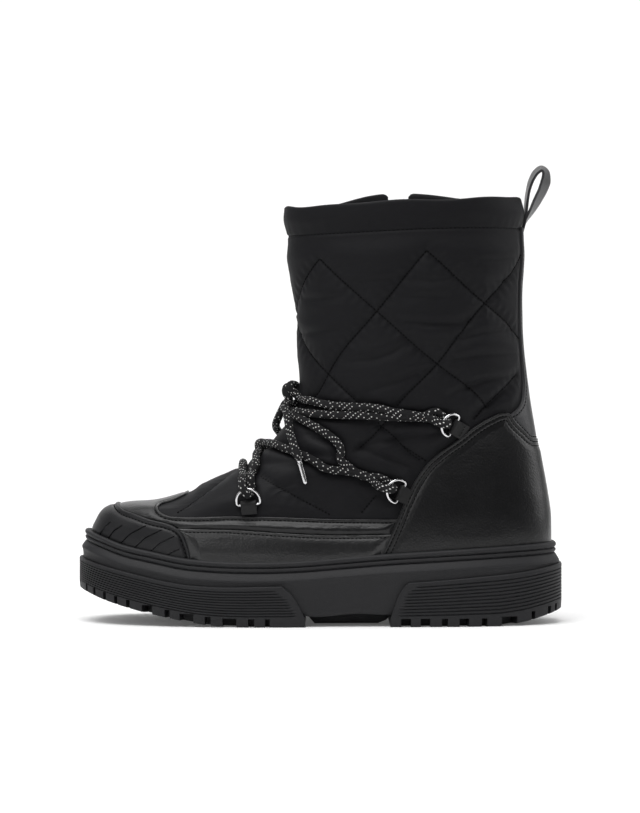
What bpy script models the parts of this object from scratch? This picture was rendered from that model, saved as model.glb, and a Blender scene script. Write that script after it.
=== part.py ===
"""Left winter boot: quilted shaft, leather bands, rubber toe guard, D-ring lacing, inside zip, lugged sole.

Frame: +X to the toe, +Y to the outer (lateral) side, +Z up, origin on the floor under the middle of the sole.
Tables and sizes are in millimetres; MM turns them into the metres of the scene.
"""
import functools
import math
from collections import namedtuple

import bmesh
import bpy
from mathutils import Matrix, Vector

MM = 0.001

# Driving sizes
SOLE_HALF_LENGTH = 145.0
GAP = 0.35
UPPER_WALL = 3.0
RIM_HEIGHT = 3.0
RIM_CLEARANCE = 2.7
TURN_STEPS = 36

# One row for each section of the foot form, from the feather line up to the collar.
# level names the row by its height at the widest place; round is the power of the curve (2 is an ellipse).
Section = namedtuple(
    "Section",
    "level front_x front_z side_x back_x back_z lateral medial front_round back_round foot",
)
UPPER_SECTIONS = [
    Section(36.0, 135.0, 51.8, 58.0, -136.6, 45.4, 44.2, 43.2, 2.35, 3.0, 1.00),
    Section(50.0, 134.0, 58.0, 57.0, -136.8, 56.0, 44.8, 43.8, 2.35, 3.0, 1.00),
    Section(58.0, 128.3, 66.2, 53.0, -136.4, 65.0, 44.4, 43.4, 2.30, 2.9, 0.95),
    Section(65.0, 117.0, 70.0, 46.0, -135.2, 74.5, 43.2, 42.4, 2.20, 2.8, 0.90),
    Section(71.5, 98.5, 71.6, 36.0, -133.6, 84.0, 41.8, 41.2, 2.15, 2.7, 0.80),
    Section(78.5, 79.0, 77.2, 24.0, -132.0, 93.0, 40.4, 40.0, 2.10, 2.6, 0.65),
    Section(86.0, 61.5, 84.4, 10.0, -130.3, 102.0, 39.4, 39.0, 2.05, 2.5, 0.50),
    Section(95.0, 44.0, 93.2, -6.0, -128.2, 112.0, 38.6, 38.4, 2.05, 2.4, 0.35),
    Section(106.0, 29.5, 104.8, -22.0, -126.2, 123.0, 38.2, 38.2, 2.05, 2.3, 0.20),
    Section(119.5, 19.2, 118.2, -36.0, -124.2, 135.0, 38.6, 38.6, 2.10, 2.2, 0.08),
    Section(133.0, 12.4, 129.6, -45.0, -122.6, 147.5, 39.4, 39.4, 2.10, 2.2, 0.0),
    Section(147.5, 10.2, 143.0, -50.0, -121.2, 160.0, 40.4, 40.4, 2.15, 2.2, 0.0),
    Section(166.5, 12.0, 162.5, -52.0, -120.0, 176.0, 42.0, 42.0, 2.15, 2.2, 0.0),
    Section(196.0, 14.2, 193.0, -52.0, -119.9, 200.0, 44.2, 44.2, 2.15, 2.2, 0.0),
    Section(220.0, 17.8, 217.5, -51.0, -121.0, 221.0, 45.8, 45.8, 2.15, 2.2, 0.0),
    Section(233.5, 19.6, 230.8, -50.5, -120.6, 235.0, 45.4, 45.4, 2.15, 2.2, 0.0),
    Section(244.0, 22.0, 241.0, -50.5, -122.6, 245.5, 46.8, 46.8, 2.15, 2.2, 0.0),
    Section(251.0, 19.6, 248.4, -50.0, -118.4, 254.5, 45.0, 45.0, 2.15, 2.2, 0.0),
]
SOLE_SECTION = Section(
    0.0, SOLE_HALF_LENGTH, 0.0, 58.0, -SOLE_HALF_LENGTH, 0.0, 53.0, 52.0, 2.35, 3.1, 1.0
)
WAIST_X = -24.0
WAIST_LENGTH = 46.0
WAIST_LATERAL = 0.07
WAIST_MEDIAL = 0.15
TOE_IN = 8.0
RISE_BEND = 1.5

# The collar stands up beside the zip on the inner side
ZIP_X = -48.0
COLLAR_RISE = 7.5
COLLAR_RISE_LENGTH = 36.0
COLLAR_RISE_FROM = 238.0
COLLAR_RISE_SPAN = 13.0

# Heights along the length of the sole, heel to toe, as (x, z)
SOLE_TOP = ((-145, 48.8), (-91, 45.9), (-63, 44.3), (-41, 43.0), (-12, 40.7), (12, 38.9), (41, 38.2),
            (65, 38.9), (80, 40.2), (99, 43.8), (118, 47.8), (131, 52.2), (145, 57.0))
FLOOR_RISE = ((-145, 8.5), (-134, 5.4), (-122, 2.4), (-106, 0.0), (0, 0.0), (42, 0.0), (70, 1.7),
              (90, 5.2), (112, 10.0), (132, 15.6), (145, 20.5))
PANEL_TOP = ((-145, 36.0), (-123, 32.1), (-91, 29.0), (-55, 26.2), (-10, 24.6), (24, 24.1), (67, 23.9),
             (81, 25.0), (90, 26.4), (111, 30.7), (132, 35.4), (145, 38.8))
BELLY = ((-145, 19.0), (-122, 12.8), (-106, 10.6), (-62, 10.4), (-46, 7.2), (-22, 7.6), (6, 6.0), (30, 10.4),
         (60, 11.2), (90, 15.6), (112, 20.4), (132, 26.0), (145, 30.5))

# Side-view outlines, as (x, z), of the pieces that lie over the upper
GUARD_EDGE = ((75.7, 30.0), (76.6, 44.0), (78.3, 49.3), (80.6, 54.4), (84.5, 57.9), (90.4, 60.1),
              (99.6, 61.9), (108.8, 64.4), (117.6, 67.0), (121.0, 69.5), (123.0, 80.0))
BAND_LINE = ((81.0, 57.4), (51.8, 57.1), (21.2, 55.2), (-5.9, 54.0), (-44.0, 54.6))
VAMP_EDGE = ((-46.5, 63.0), (-5.9, 63.3), (21.2, 64.3), (51.9, 64.8), (82.6, 63.8), (88.5, 64.1),
             (92.7, 65.3), (95.4, 67.2), (96.2, 68.9), (94.6, 70.4), (90.3, 71.8), (84.0, 74.2), (79.0, 77.0),
             (77.0, 84.0))
COUNTER_EDGE = ((-31.0, 30.0), (-36.9, 43.4), (-44.3, 60.0), (-50.6, 74.8), (-57.0, 87.2), (-63.2, 95.7),
                (-71.7, 103.1), (-82.1, 110.4), (-91.8, 117.9), (-101.3, 123.2), (-107.5, 125.6),
                (-111.7, 125.2), (-115.0, 120.5), (-121.4, 113.8), (-125.0, 110.4), (-130.0, 109.4),
                (-150.0, 109.4))
STRIP_HALF_WIDTH = ((100.0, 30.0), (124.0, 24.0), (130.0, 18.0), (140.0, 13.5), (160.0, 12.0), (200.0, 12.5),
                    (236.0, 11.0))

GUARD_THICKNESS = 1.8
BAND_THICKNESS = 1.4
COUNTER_THICKNESS = 1.6
STRIP_THICKNESS = 1.4
CUT_REACH = 90.0

for leftover in list(bpy.data.objects):
    bpy.data.objects.remove(leftover)
parts = bpy.data.collections.new("winter_boot")
cutters = bpy.data.collections.new("cutters")
bpy.context.scene.collection.children.link(parts)
bpy.context.scene.collection.children.link(cutters)


def finish(name, colour, roughness, metallic=0.0):
    """A plain Principled material."""
    made = bpy.data.materials.new(name)
    made.use_nodes = True
    shader = made.node_tree.nodes["Principled BSDF"]
    shader.inputs["Base Color"].default_value = (*colour, 1.0)
    shader.inputs["Roughness"].default_value = roughness
    shader.inputs["Metallic"].default_value = metallic
    return made


NYLON = finish("black_nylon", (0.010, 0.010, 0.012), 0.55)
LEATHER = finish("black_leather", (0.009, 0.009, 0.010), 0.38)
STRIP_LEATHER = finish("grey_black_leather", (0.030, 0.030, 0.032), 0.42)
RUBBER = finish("black_rubber", (0.014, 0.014, 0.015), 0.62)
FOAM = finish("black_foam", (0.015, 0.015, 0.016), 0.68)
LINING = finish("black_lining", (0.012, 0.012, 0.013), 0.9)
LACE = finish("flecked_lace", (0.020, 0.020, 0.022), 0.75)
STEEL = finish("silver_metal", (0.62, 0.62, 0.63), 0.25, 1.0)
DARK_METAL = finish("dark_metal", (0.10, 0.10, 0.11), 0.35, 1.0)
WEBBING = finish("black_webbing", (0.010, 0.010, 0.011), 0.7)


def add_part(name, mesh, material, collection=None):
    """Link a mesh as a named object with its material."""
    made = bpy.data.objects.new(name, mesh)
    mesh.materials.clear()
    mesh.materials.append(material)
    (collection or parts).objects.link(made)
    return made


def hide_cutter(cutter):
    """Mark an object as a tool that only shapes other objects."""
    cutter.hide_render = True
    cutter.display_type = "WIRE"
    return cutter


def boolean(target, cutter, operation):
    """Add a Boolean modifier to a part."""
    step = target.modifiers.new(operation.lower(), "BOOLEAN")
    step.operation = operation
    step.object = cutter


def smooth_value(knots, values, place):
    """Smooth curve through values at rising knots, level at neither end and without loops."""
    place = min(max(place, knots[0]), knots[-1])
    index = 0
    while index < len(knots) - 2 and place > knots[index + 1]:
        index += 1

    def slope(at):
        if at == 0:
            return (values[1] - values[0]) * (1.0 / (knots[1] - knots[0]))
        if at == len(knots) - 1:
            return (values[at] - values[at - 1]) * (1.0 / (knots[at] - knots[at - 1]))
        before = knots[at] - knots[at - 1]
        after = knots[at + 1] - knots[at]
        fall = (values[at] - values[at - 1]) * (1.0 / before)
        climb = (values[at + 1] - values[at]) * (1.0 / after)
        return (fall * after + climb * before) * (1.0 / (before + after))

    span = knots[index + 1] - knots[index]
    part = (place - knots[index]) / span
    near = values[index] * (2 * part ** 3 - 3 * part ** 2 + 1)
    far = values[index + 1] * (3 * part ** 2 - 2 * part ** 3)
    leave = slope(index) * (span * (part ** 3 - 2 * part ** 2 + part))
    arrive = slope(index + 1) * (span * (part ** 3 - part ** 2))
    return near + far + leave + arrive


def along(table, place):
    """Height from a two-column table at a place along its first column."""
    return smooth_value([row[0] for row in table], [row[1] for row in table], place)


def plan_point(section, turn):
    """Plan of a section (turn 0 toe, 0.25 lateral, 0.5 heel) as x, y and the reach to its end."""
    angle = 2.0 * math.pi * turn
    forward = math.cos(angle)
    sideways = math.sin(angle)
    power = section.front_round if forward >= 0.0 else section.back_round
    scale = (abs(forward) ** power + abs(sideways) ** power) ** (-1.0 / power)
    reach = forward * scale
    span = section.front_x - section.side_x if forward >= 0.0 else section.side_x - section.back_x
    x = section.side_x + reach * span
    half = section.lateral if sideways >= 0.0 else section.medial
    pinch = WAIST_LATERAL if sideways >= 0.0 else WAIST_MEDIAL
    y = half * sideways * scale
    y *= 1.0 - section.foot * pinch * math.exp(-((x - WAIST_X) / WAIST_LENGTH) ** 2)
    toe_part = min(max(x / SOLE_HALF_LENGTH, 0.0), 1.0)
    y -= section.foot * TOE_IN * toe_part * toe_part * (3.0 - 2.0 * toe_part)
    return x, y, reach


OUTLINE_SIDES = [plan_point(SOLE_SECTION, step / 720.0)[1] for step in range(720)]
CENTRE_Y = (max(OUTLINE_SIDES) + min(OUTLINE_SIDES)) / 2.0


def floor_rise(x):
    """Height of the tread over the floor: flat under heel and ball, rising to the toe and the back edge."""
    return max(along(FLOOR_RISE, x), 0.0)


def deck(x):
    """Height of the face inside the sole's rim, where upper and insole stand."""
    return along(SOLE_TOP, x) - RIM_HEIGHT


def section_point(section, turn):
    """Point of an upper section, in millimetres."""
    x, y, reach = plan_point(section, turn)
    side_lift = section.level - deck(section.side_x)
    if reach >= 0.0:
        end_lift = section.front_z - deck(section.front_x)
    else:
        end_lift = section.back_z - deck(section.back_x)
    lift = side_lift + (end_lift - side_lift) * abs(reach) ** RISE_BEND
    if section is UPPER_SECTIONS[0]:
        lift = GAP
    if y < 0.0:
        raised = min(max((section.level - COLLAR_RISE_FROM) / COLLAR_RISE_SPAN, 0.0), 1.0)
        lift += raised * COLLAR_RISE * math.exp(-((x - ZIP_X) / COLLAR_RISE_LENGTH) ** 2)
    return Vector((x, y - CENTRE_Y, deck(x) + lift))


LEVELS = [section.level for section in UPPER_SECTIONS]
LOW_LEVEL = LEVELS[0]
COLLAR_LEVEL = LEVELS[-1]


@functools.lru_cache(maxsize=None)
def profile(turn):
    """Points of every section at one turn."""
    return [section_point(section, turn) for section in UPPER_SECTIONS]


def surface(turn, level):
    """Point of the upper's outer face, in millimetres."""
    return smooth_value(LEVELS, profile(turn), level)


def outward(turn, level):
    """Unit normal of the upper's outer face."""
    around = surface(turn + 0.002, level) - surface(turn - 0.002, level)
    low = max(level - 0.5, LOW_LEVEL)
    high = min(level + 0.5, COLLAR_LEVEL)
    upward = surface(turn, high) - surface(turn, low)
    return around.cross(upward).normalized()


def skin(turn, level, offset=0.0):
    """Point at a distance outside the upper's outer face."""
    return surface(turn, level) + outward(turn, level) * offset


def find_place(x, z, lateral=True):
    """Turn and level of the upper at a place of the side view."""
    first, last = (0.02, 0.48) if lateral else (0.98, 0.52)
    best = None
    for step in range(47):
        turn = first + (last - first) * step / 46.0
        for rung in range(54):
            level = LOW_LEVEL + (COLLAR_LEVEL - LOW_LEVEL) * rung / 53.0
            point = surface(turn, level)
            miss = (point.x - x) ** 2 + (point.z - z) ** 2
            if best is None or miss < best[0]:
                best = (miss, turn, level)
    turn, level = best[1], best[2]
    for _ in range(6):
        point = surface(turn, level)
        by_turn = (surface(turn + 0.001, level) - point) * 1000.0
        by_level = (surface(turn, level - 0.2) - point) * -5.0
        area = by_turn.x * by_level.z - by_turn.z * by_level.x
        miss_x = x - point.x
        miss_z = z - point.z
        turn += (miss_x * by_level.z - miss_z * by_level.x) / area
        level += (by_turn.x * miss_z - by_turn.z * miss_x) / area
        level = min(max(level, LOW_LEVEL), COLLAR_LEVEL)
    return turn, level



def skin_sheet(name, offset, levels, material):
    """Open tube on the upper's own grid at an offset; every sheet shares the same facets."""
    mesh_data = bmesh.new()
    rows = len(levels) - 1
    bmesh.ops.create_grid(mesh_data, x_segments=TURN_STEPS, y_segments=rows, size=1.0)
    for vertex in mesh_data.verts:
        column = round((vertex.co.x + 1.0) / 2.0 * TURN_STEPS) % TURN_STEPS
        row = round((vertex.co.y + 1.0) / 2.0 * rows)
        vertex.co = skin(column / TURN_STEPS, levels[row], offset) * MM
    bmesh.ops.remove_doubles(mesh_data, verts=mesh_data.verts, dist=0.000001)
    mesh = bpy.data.meshes.new(name)
    mesh_data.to_mesh(mesh)
    mesh_data.free()
    mesh.shade_smooth()
    return add_part(name, mesh, material)


def thicken(target, thickness, side):
    """Give a sheet its wall: side -1 grows inwards, 1 outwards."""
    wall = target.modifiers.new("wall", "SOLIDIFY")
    wall.thickness = thickness * MM
    wall.offset = side
    wall.use_even_offset = True
    wall.use_quality_normals = True


def curve_mesh(curve_object, name, material, collection=None):
    """Turn a curve object into a welded mesh part."""
    bpy.context.view_layer.update()
    evaluated = curve_object.evaluated_get(bpy.context.evaluated_depsgraph_get())
    mesh = bpy.data.meshes.new_from_object(evaluated)
    mesh_data = bmesh.new()
    mesh_data.from_mesh(mesh)
    bmesh.ops.remove_doubles(mesh_data, verts=mesh_data.verts, dist=0.000001)
    bmesh.ops.recalc_face_normals(mesh_data, faces=mesh_data.faces)
    mesh_data.to_mesh(mesh)
    mesh_data.free()
    mesh.name = name
    made = add_part(name, mesh, material, collection)
    made.matrix_world = curve_object.matrix_world
    bpy.data.objects.remove(curve_object)
    return made


def plate(name, outlines, half_thickness, frame, material, collection=None):
    """Flat closed outlines, in millimetres, as a plate; frame carries its plane into place."""
    curve = bpy.data.curves.new(name + "_outline", "CURVE")
    curve.dimensions = "2D"
    curve.fill_mode = "BOTH"
    curve.extrude = half_thickness * MM
    for outline in outlines:
        spline = curve.splines.new("POLY")
        spline.points.add(len(outline) - 1)
        spline.use_cyclic_u = True
        for point, (across, up) in zip(spline.points, outline):
            point.co = (across * MM, up * MM, 0.0, 1.0)
    holder = bpy.data.objects.new(name + "_outline", curve)
    parts.objects.link(holder)
    holder.matrix_world = frame
    return curve_mesh(holder, name, material, collection)


SIDE_PLANE = Matrix.Rotation(math.radians(90.0), 4, "X")
BACK_PLANE = Matrix.Rotation(math.radians(90.0), 4, "Z") @ SIDE_PLANE


def side_cutter(name, outline, low_y=-CUT_REACH, high_y=CUT_REACH):
    """Prism of a side-view outline, reaching across the boot or over one half of it."""
    place = Matrix.Translation((0.0, (low_y + high_y) / 2.0 * MM, 0.0)) @ SIDE_PLANE
    return hide_cutter(plate(name, [outline], (high_y - low_y) / 2.0, place, RUBBER, cutters))


def box_cutter(name, low, high):
    """Box between two corners in millimetres."""
    mesh_data = bmesh.new()
    bmesh.ops.create_cube(mesh_data, size=1.0)
    for vertex in mesh_data.verts:
        vertex.co = Vector(
            (low[axis] + (high[axis] - low[axis]) * (vertex.co[axis] + 0.5)) * MM for axis in range(3)
        )
    mesh = bpy.data.meshes.new(name)
    mesh_data.to_mesh(mesh)
    mesh_data.free()
    return hide_cutter(add_part(name, mesh, RUBBER, cutters))


def shifted(table, step_x, step_z):
    """A table of points moved aside."""
    return [(x + step_x, z + step_z) for x, z in table]


def ring_solid(name, rings, material, collection=None):
    """Closed solid through stacked rings of equal count; its two ends are filled across from side to side."""
    count = len(rings[0])
    mesh_data = bmesh.new()
    rows = len(rings) - 1
    bmesh.ops.create_grid(mesh_data, x_segments=count, y_segments=rows, size=1.0)
    label = mesh_data.verts.layers.int.new("column")
    for vertex in mesh_data.verts:
        column = round((vertex.co.x + 1.0) / 2.0 * count) % count
        row = round((vertex.co.y + 1.0) / 2.0 * rows)
        vertex[label] = column
        vertex.co = rings[row][column] * MM
    bmesh.ops.remove_doubles(mesh_data, verts=mesh_data.verts, dist=0.000001)
    open_edges = [edge for edge in mesh_data.edges if edge.is_boundary]
    caps = bmesh.ops.holes_fill(mesh_data, edges=open_edges, sides=0)["faces"]
    for cap in caps:
        by_column = {vertex[label]: vertex for vertex in cap.verts}
        rest = cap
        for column in range(1, count // 2):
            split, _ = bmesh.utils.face_split(rest, by_column[column], by_column[count - column])
            rest = split if by_column[count // 2] in split.verts else rest
    bmesh.ops.recalc_face_normals(mesh_data, faces=mesh_data.faces)
    mesh = bpy.data.meshes.new(name)
    mesh_data.to_mesh(mesh)
    mesh_data.free()
    return add_part(name, mesh, material, collection)


def sole_point(turn, inset, height):
    """Point of the sole's plan outline, moved in by inset, at a height that may follow x."""
    x, y, _ = plan_point(SOLE_SECTION, turn)
    ahead = plan_point(SOLE_SECTION, turn + 0.002)
    behind = plan_point(SOLE_SECTION, turn - 0.002)
    step = Vector((ahead[0] - behind[0], ahead[1] - behind[1])).normalized()
    x -= step.y * inset
    y += step.x * inset
    return Vector((x, y - CENTRE_Y, height(x)))


def sole_ring(inset, height):
    """Ring of the sole's outline."""
    return [sole_point(step / TURN_STEPS, inset, height) for step in range(TURN_STEPS)]


def feather_ring(offset, height):
    """Ring beside the upper's lowest line."""
    ring = []
    for step in range(TURN_STEPS):
        point = skin(step / TURN_STEPS, LOW_LEVEL, offset)
        ring.append(Vector((point.x, point.y, height(point.x))))
    return ring


# Midsole: foam body with a bevelled shoulder, two welt beads and a rim around the upper.
# Each row is the inset from the outsole's outline and the depth below the sole's top.
BeadStep = namedtuple("BeadStep", "inset depth")
SHOULDER_AND_BEADS = (
    BeadStep(2.3, 13.4),
    BeadStep(1.7, 10.8),
    BeadStep(3.3, 6.9),
    BeadStep(4.4, 6.3),
    BeadStep(3.6, 5.6),
    BeadStep(3.6, 4.2),
    BeadStep(4.7, 3.6),
    BeadStep(3.8, 2.9),
    BeadStep(3.8, 0.8),
    BeadStep(4.5, 0.0),
)
BELLY_EDGE = 1.6


def midsole_rings(grow):
    """Rings of the midsole, or of the same form grown by a clearance."""
    rings = [
        sole_ring(2.4 + BELLY_EDGE - grow, lambda x: along(BELLY, x) - grow),
        sole_ring(2.4 - grow, lambda x: along(BELLY, x) + BELLY_EDGE - grow),
    ]
    for bead in SHOULDER_AND_BEADS:
        rings.append(sole_ring(bead.inset - grow, lambda x, drop=bead.depth: along(SOLE_TOP, x) - drop))
    rings.append(feather_ring(RIM_CLEARANCE, lambda x: along(SOLE_TOP, x)))
    rings.append(feather_ring(RIM_CLEARANCE, deck))
    return rings


ring_solid("midsole", midsole_rings(0.0), FOAM)
midsole_room = hide_cutter(ring_solid("midsole_room", midsole_rings(GAP), FOAM, cutters))

# Outsole: a forefoot and a heel piece of rubber, each with a ribbed side panel and lugs
RIB_DEPTH = 0.65
PanelRibs = namedtuple("PanelRibs", "count first last")
FOREFOOT_RIBS = PanelRibs(7, 0.36, 0.77)
HEEL_RIBS = PanelRibs(8, 0.28, 0.80)
TREAD_TUCK = 1.2
PANEL_LIP = 0.5
FOREFOOT_END = ((24.5, 60.0), (23.5, 24.6), (20.8, 22.9), (17.6, 20.2), (14.4, 16.0), (11.0, 9.6), (8.8, 5.0),
                (8.4, -10.0), (160.0, -10.0), (160.0, 60.0))
HEEL_END = ((-54.5, 60.0), (-54.0, 26.8), (-51.0, 25.0), (-48.2, 22.2), (-45.6, 17.0), (-43.2, 10.0),
            (-41.5, 5.0), (-41.2, -10.0), (-160.0, -10.0), (-160.0, 60.0))
LUG_HEIGHT = 6.8
LUG_REACH = 15.0
WIDE_GAP = 5.0
WIDE_GAP_REACH = 24.0
END_GAP_REACH = 7.0
# Gaps between the lugs of the outer side, as (middle x, width); the inner side repeats them
LugGap = namedtuple("LugGap", "x width")
FOREFOOT_GAPS = (LugGap(126.0, 2.2), LugGap(119.5, 2.2), LugGap(112.5, 2.4), LugGap(103.5, 6.6),
                 LugGap(90.0, 3.2), LugGap(78.0, 8.4), LugGap(66.0, 3.6), LugGap(53.5, 8.2),
                 LugGap(40.5, 3.6), LugGap(30.5, 2.8))
HEEL_GAPS = (LugGap(-50.5, 5.8), LugGap(-62.0, 5.6), LugGap(-73.5, 3.6), LugGap(-85.0, 5.8),
             LugGap(-97.0, 3.4), LugGap(-111.0, 9.4), LugGap(-124.0, 2.8))
TOE_GAP_TURNS = (0.0, 0.036, 0.964)
HEEL_GAP_TURNS = (0.47, 0.53)
END_GAP_WIDTH = 2.6


def panel_form(name, ribs):
    """Full sole form under the panels' top edge, with the ribs of one panel."""

    def height(share):
        return lambda x: floor_rise(x) + (along(PANEL_TOP, x) - floor_rise(x)) * share

    rings = [sole_ring(TREAD_TUCK, height(0.0)), sole_ring(0.25, height(0.16))]
    pitch = (ribs.last - ribs.first) / (ribs.count - 1)
    rings.append(sole_ring(0.0, height(ribs.first - pitch / 2.0)))
    for groove in range(ribs.count):
        share = ribs.first + groove * pitch
        rings.append(sole_ring(RIB_DEPTH, height(share)))
        rings.append(sole_ring(0.0, height(share + pitch / 2.0)))
    rings.append(sole_ring(0.0, height(0.97)))
    rings.append(sole_ring(PANEL_LIP, height(1.0)))
    return ring_solid(name, rings, RUBBER)


def turn_at(x, lateral):
    """Turn of the sole's outline at a place along its length."""
    low, high = (0.0, 0.5) if lateral else (1.0, 0.5)
    for _ in range(40):
        middle = (low + high) / 2.0
        if plan_point(SOLE_SECTION, middle)[0] > x:
            low = middle
        else:
            high = middle
    return (low + high) / 2.0


def lug_gap_cutters(name, gaps, end_turns):
    """One joined mesh of upright boxes, each set square to the outline where two lugs part."""
    places = []
    for gap in gaps:
        depth = LUG_REACH if gap.width < WIDE_GAP else WIDE_GAP_REACH
        places += [(turn_at(gap.x, lateral), gap.width, depth) for lateral in (True, False)]
    places += [(turn, END_GAP_WIDTH, END_GAP_REACH) for turn in end_turns]
    mesh_data = bmesh.new()
    for turn, width, depth in places:
        edge = sole_point(turn, 0.0, floor_rise)
        inner = sole_point(turn, depth, floor_rise)
        inward = Vector((inner.x - edge.x, inner.y - edge.y, 0.0)).normalized()
        roof = min(edge.z, inner.z) + LUG_HEIGHT
        frame = Matrix.Translation(Vector((edge.x, edge.y, (roof - 20.0) / 2.0)) * MM)
        frame = frame @ Matrix.Rotation(math.atan2(inward.y, inward.x), 4, "Z")
        box = bmesh.ops.create_cube(mesh_data, size=1.0)["verts"]
        size = Vector((2.0 * depth, width, roof + 20.0)) * MM
        bmesh.ops.scale(mesh_data, vec=size, verts=box)
        bmesh.ops.transform(mesh_data, matrix=frame, verts=box)
    mesh = bpy.data.meshes.new(name)
    mesh_data.to_mesh(mesh)
    mesh_data.free()
    return hide_cutter(add_part(name, mesh, RUBBER, cutters))


for piece, ribs, end, gaps, end_turns in (
    ("outsole_forefoot", FOREFOOT_RIBS, FOREFOOT_END, FOREFOOT_GAPS, TOE_GAP_TURNS),
    ("outsole_heel", HEEL_RIBS, HEEL_END, HEEL_GAPS, HEEL_GAP_TURNS),
):
    outsole = panel_form(piece, ribs)
    boolean(outsole, side_cutter(piece + "_end", end), "INTERSECT")
    boolean(outsole, midsole_room, "DIFFERENCE")
    boolean(outsole, lug_gap_cutters(piece + "_gaps", gaps, end_turns), "DIFFERENCE")

# Insole: a flat pad on the midsole inside the upper
INSOLE_INSET = UPPER_WALL + 1.4
INSOLE_THICKNESS = 4.0
ring_solid(
    "insole",
    [
        feather_ring(-INSOLE_INSET, lambda x: deck(x) + GAP),
        feather_ring(-INSOLE_INSET, lambda x: deck(x) + GAP + INSOLE_THICKNESS),
    ],
    LINING,
)

# Upper: one padded nylon wall from the feather line to the hemmed collar, slit on the inner side for the zip
ZIP_SLOT_WIDTH = 12.4
ZIP_FOOT_Z = 86.0
upper = skin_sheet("upper", 0.0, LEVELS, NYLON)
thicken(upper, UPPER_WALL, -1.0)
zip_slot = box_cutter(
    "zip_slot",
    (ZIP_X - ZIP_SLOT_WIDTH / 2.0, -CUT_REACH, ZIP_FOOT_Z),
    (ZIP_X + ZIP_SLOT_WIDTH / 2.0, -20.0, 300.0),
)
boolean(upper, zip_slot, "DIFFERENCE")


OVERLAY_FOOT = 39.5
OVERLAY_LEVELS = [OVERLAY_FOOT] + LEVELS[1:]


def overlay(name, thickness, levels, outline, material, low_y=-CUT_REACH, high_y=CUT_REACH):
    """A layer over the upper, cut between two larger forms: the upper's own face and a side-view prism."""
    made = skin_sheet(name, GAP, levels, material)
    thicken(made, thickness, 1.0)
    boolean(made, side_cutter(name + "_outline", outline, low_y, high_y), "INTERSECT")
    return made


# Toe guard: moulded rubber around the toe
guard_outline = list(GUARD_EDGE) + [(160.0, 80.0), (160.0, 30.0)]
overlay("toe_guard", GUARD_THICKNESS, OVERLAY_LEVELS[:6], guard_outline, RUBBER)

# Leather: a lower band on each side, and the upper band that runs into the toe panel
GUARD_MEET = (83.1, 57.15)
half_gap = GAP / 2.0
guard_side = shifted(GUARD_EDGE[:4], -GAP, GAP / 3.0)
counter_side = shifted(COUNTER_EDGE[:3], GAP, 0.0)
lower_outline = guard_side + [GUARD_MEET] + shifted(BAND_LINE[1:4], 0.0, -half_gap)
lower_outline += [(counter_side[2][0] + 2.4, 54.4 - half_gap)] + counter_side[1::-1]
for side, low_y, high_y in (("lateral", 0.0, CUT_REACH), ("medial", -CUT_REACH, 0.0)):
    overlay("rand_lower_" + side, BAND_THICKNESS, OVERLAY_LEVELS[:5], lower_outline, LEATHER, low_y, high_y)
guard_top = shifted(GUARD_EDGE[4:], -GAP, GAP)
vamp_outline = [(82.0, 57.6 + half_gap)] + guard_top + [(123.0, 90.0), (77.0, 90.0)]
vamp_outline += list(reversed(VAMP_EDGE))[:-1] + [(-45.0, 63.0)]
vamp_outline += [(-41.8, 54.6 + half_gap)] + shifted(reversed(BAND_LINE[1:4]), 0.0, half_gap)
overlay("vamp_band", BAND_THICKNESS, OVERLAY_LEVELS[1:8], vamp_outline, LEATHER)

# Heel counter: leather cup around the heel
counter_outline = list(COUNTER_EDGE) + [(-150.0, 30.0)]
overlay("heel_counter", COUNTER_THICKNESS, OVERLAY_LEVELS[:12], counter_outline, LEATHER)

# Back strip: leather strip from the counter up to the hem
back_strip = skin_sheet("back_strip", GAP, LEVELS[6:-2], STRIP_LEATHER)
thicken(back_strip, STRIP_THICKNESS, 1.0)
strip_profile = [(width, z) for z, width in STRIP_HALF_WIDTH]
strip_profile += [(-width, z) for z, width in reversed(STRIP_HALF_WIDTH)]
strip_place = Matrix.Translation((-CUT_REACH * 1.5 * MM, 0.0, 0.0)) @ BACK_PLANE
strip_width = plate("back_strip_width", [strip_profile], CUT_REACH / 2.0, strip_place, RUBBER, cutters)
boolean(back_strip, hide_cutter(strip_width), "INTERSECT")
counter_top = [(-85.0, 60.0), (-85.0, 126.0)]
counter_top += shifted(COUNTER_EDGE[10:], 0.2, GAP + 0.15) + [(-150.0, 60.0)]
boolean(back_strip, side_cutter("back_strip_foot", counter_top), "DIFFERENCE")

# Pull loop: a folded leather strip standing over the back of the collar
LOOP_HALF_WIDTH = 6.0
LOOP_THICKNESS = 1.6
LOOP_PATH = ((-122.4, 238.0), (-123.7, 245.0), (-123.7, 252.0), (-124.5, 259.0), (-126.6, 265.6),
             (-129.8, 270.6), (-133.4, 272.6), (-136.1, 270.4), (-136.6, 266.0), (-134.9, 259.8),
             (-131.8, 252.6), (-128.0, 245.6), (-125.0, 241.0))


def offset_path(path, distance):
    """Open path moved sideways to its left by a distance."""
    moved = []
    for index, (x, z) in enumerate(path):
        before = path[max(index - 1, 0)]
        after = path[min(index + 1, len(path) - 1)]
        step = Vector((after[0] - before[0], after[1] - before[1])).normalized()
        moved.append((x - step.y * distance, z + step.x * distance))
    return moved


loop_inside = offset_path(LOOP_PATH, LOOP_THICKNESS / 2.0)[1:-1]
loop_outside = offset_path(LOOP_PATH, -LOOP_THICKNESS / 2.0)
loop_outside += [(LOOP_PATH[-1][0] - 0.6, LOOP_PATH[0][1])]
plate("pull_loop", [loop_outside, loop_inside], LOOP_HALF_WIDTH, SIDE_PLANE, STRIP_LEATHER)

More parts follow.
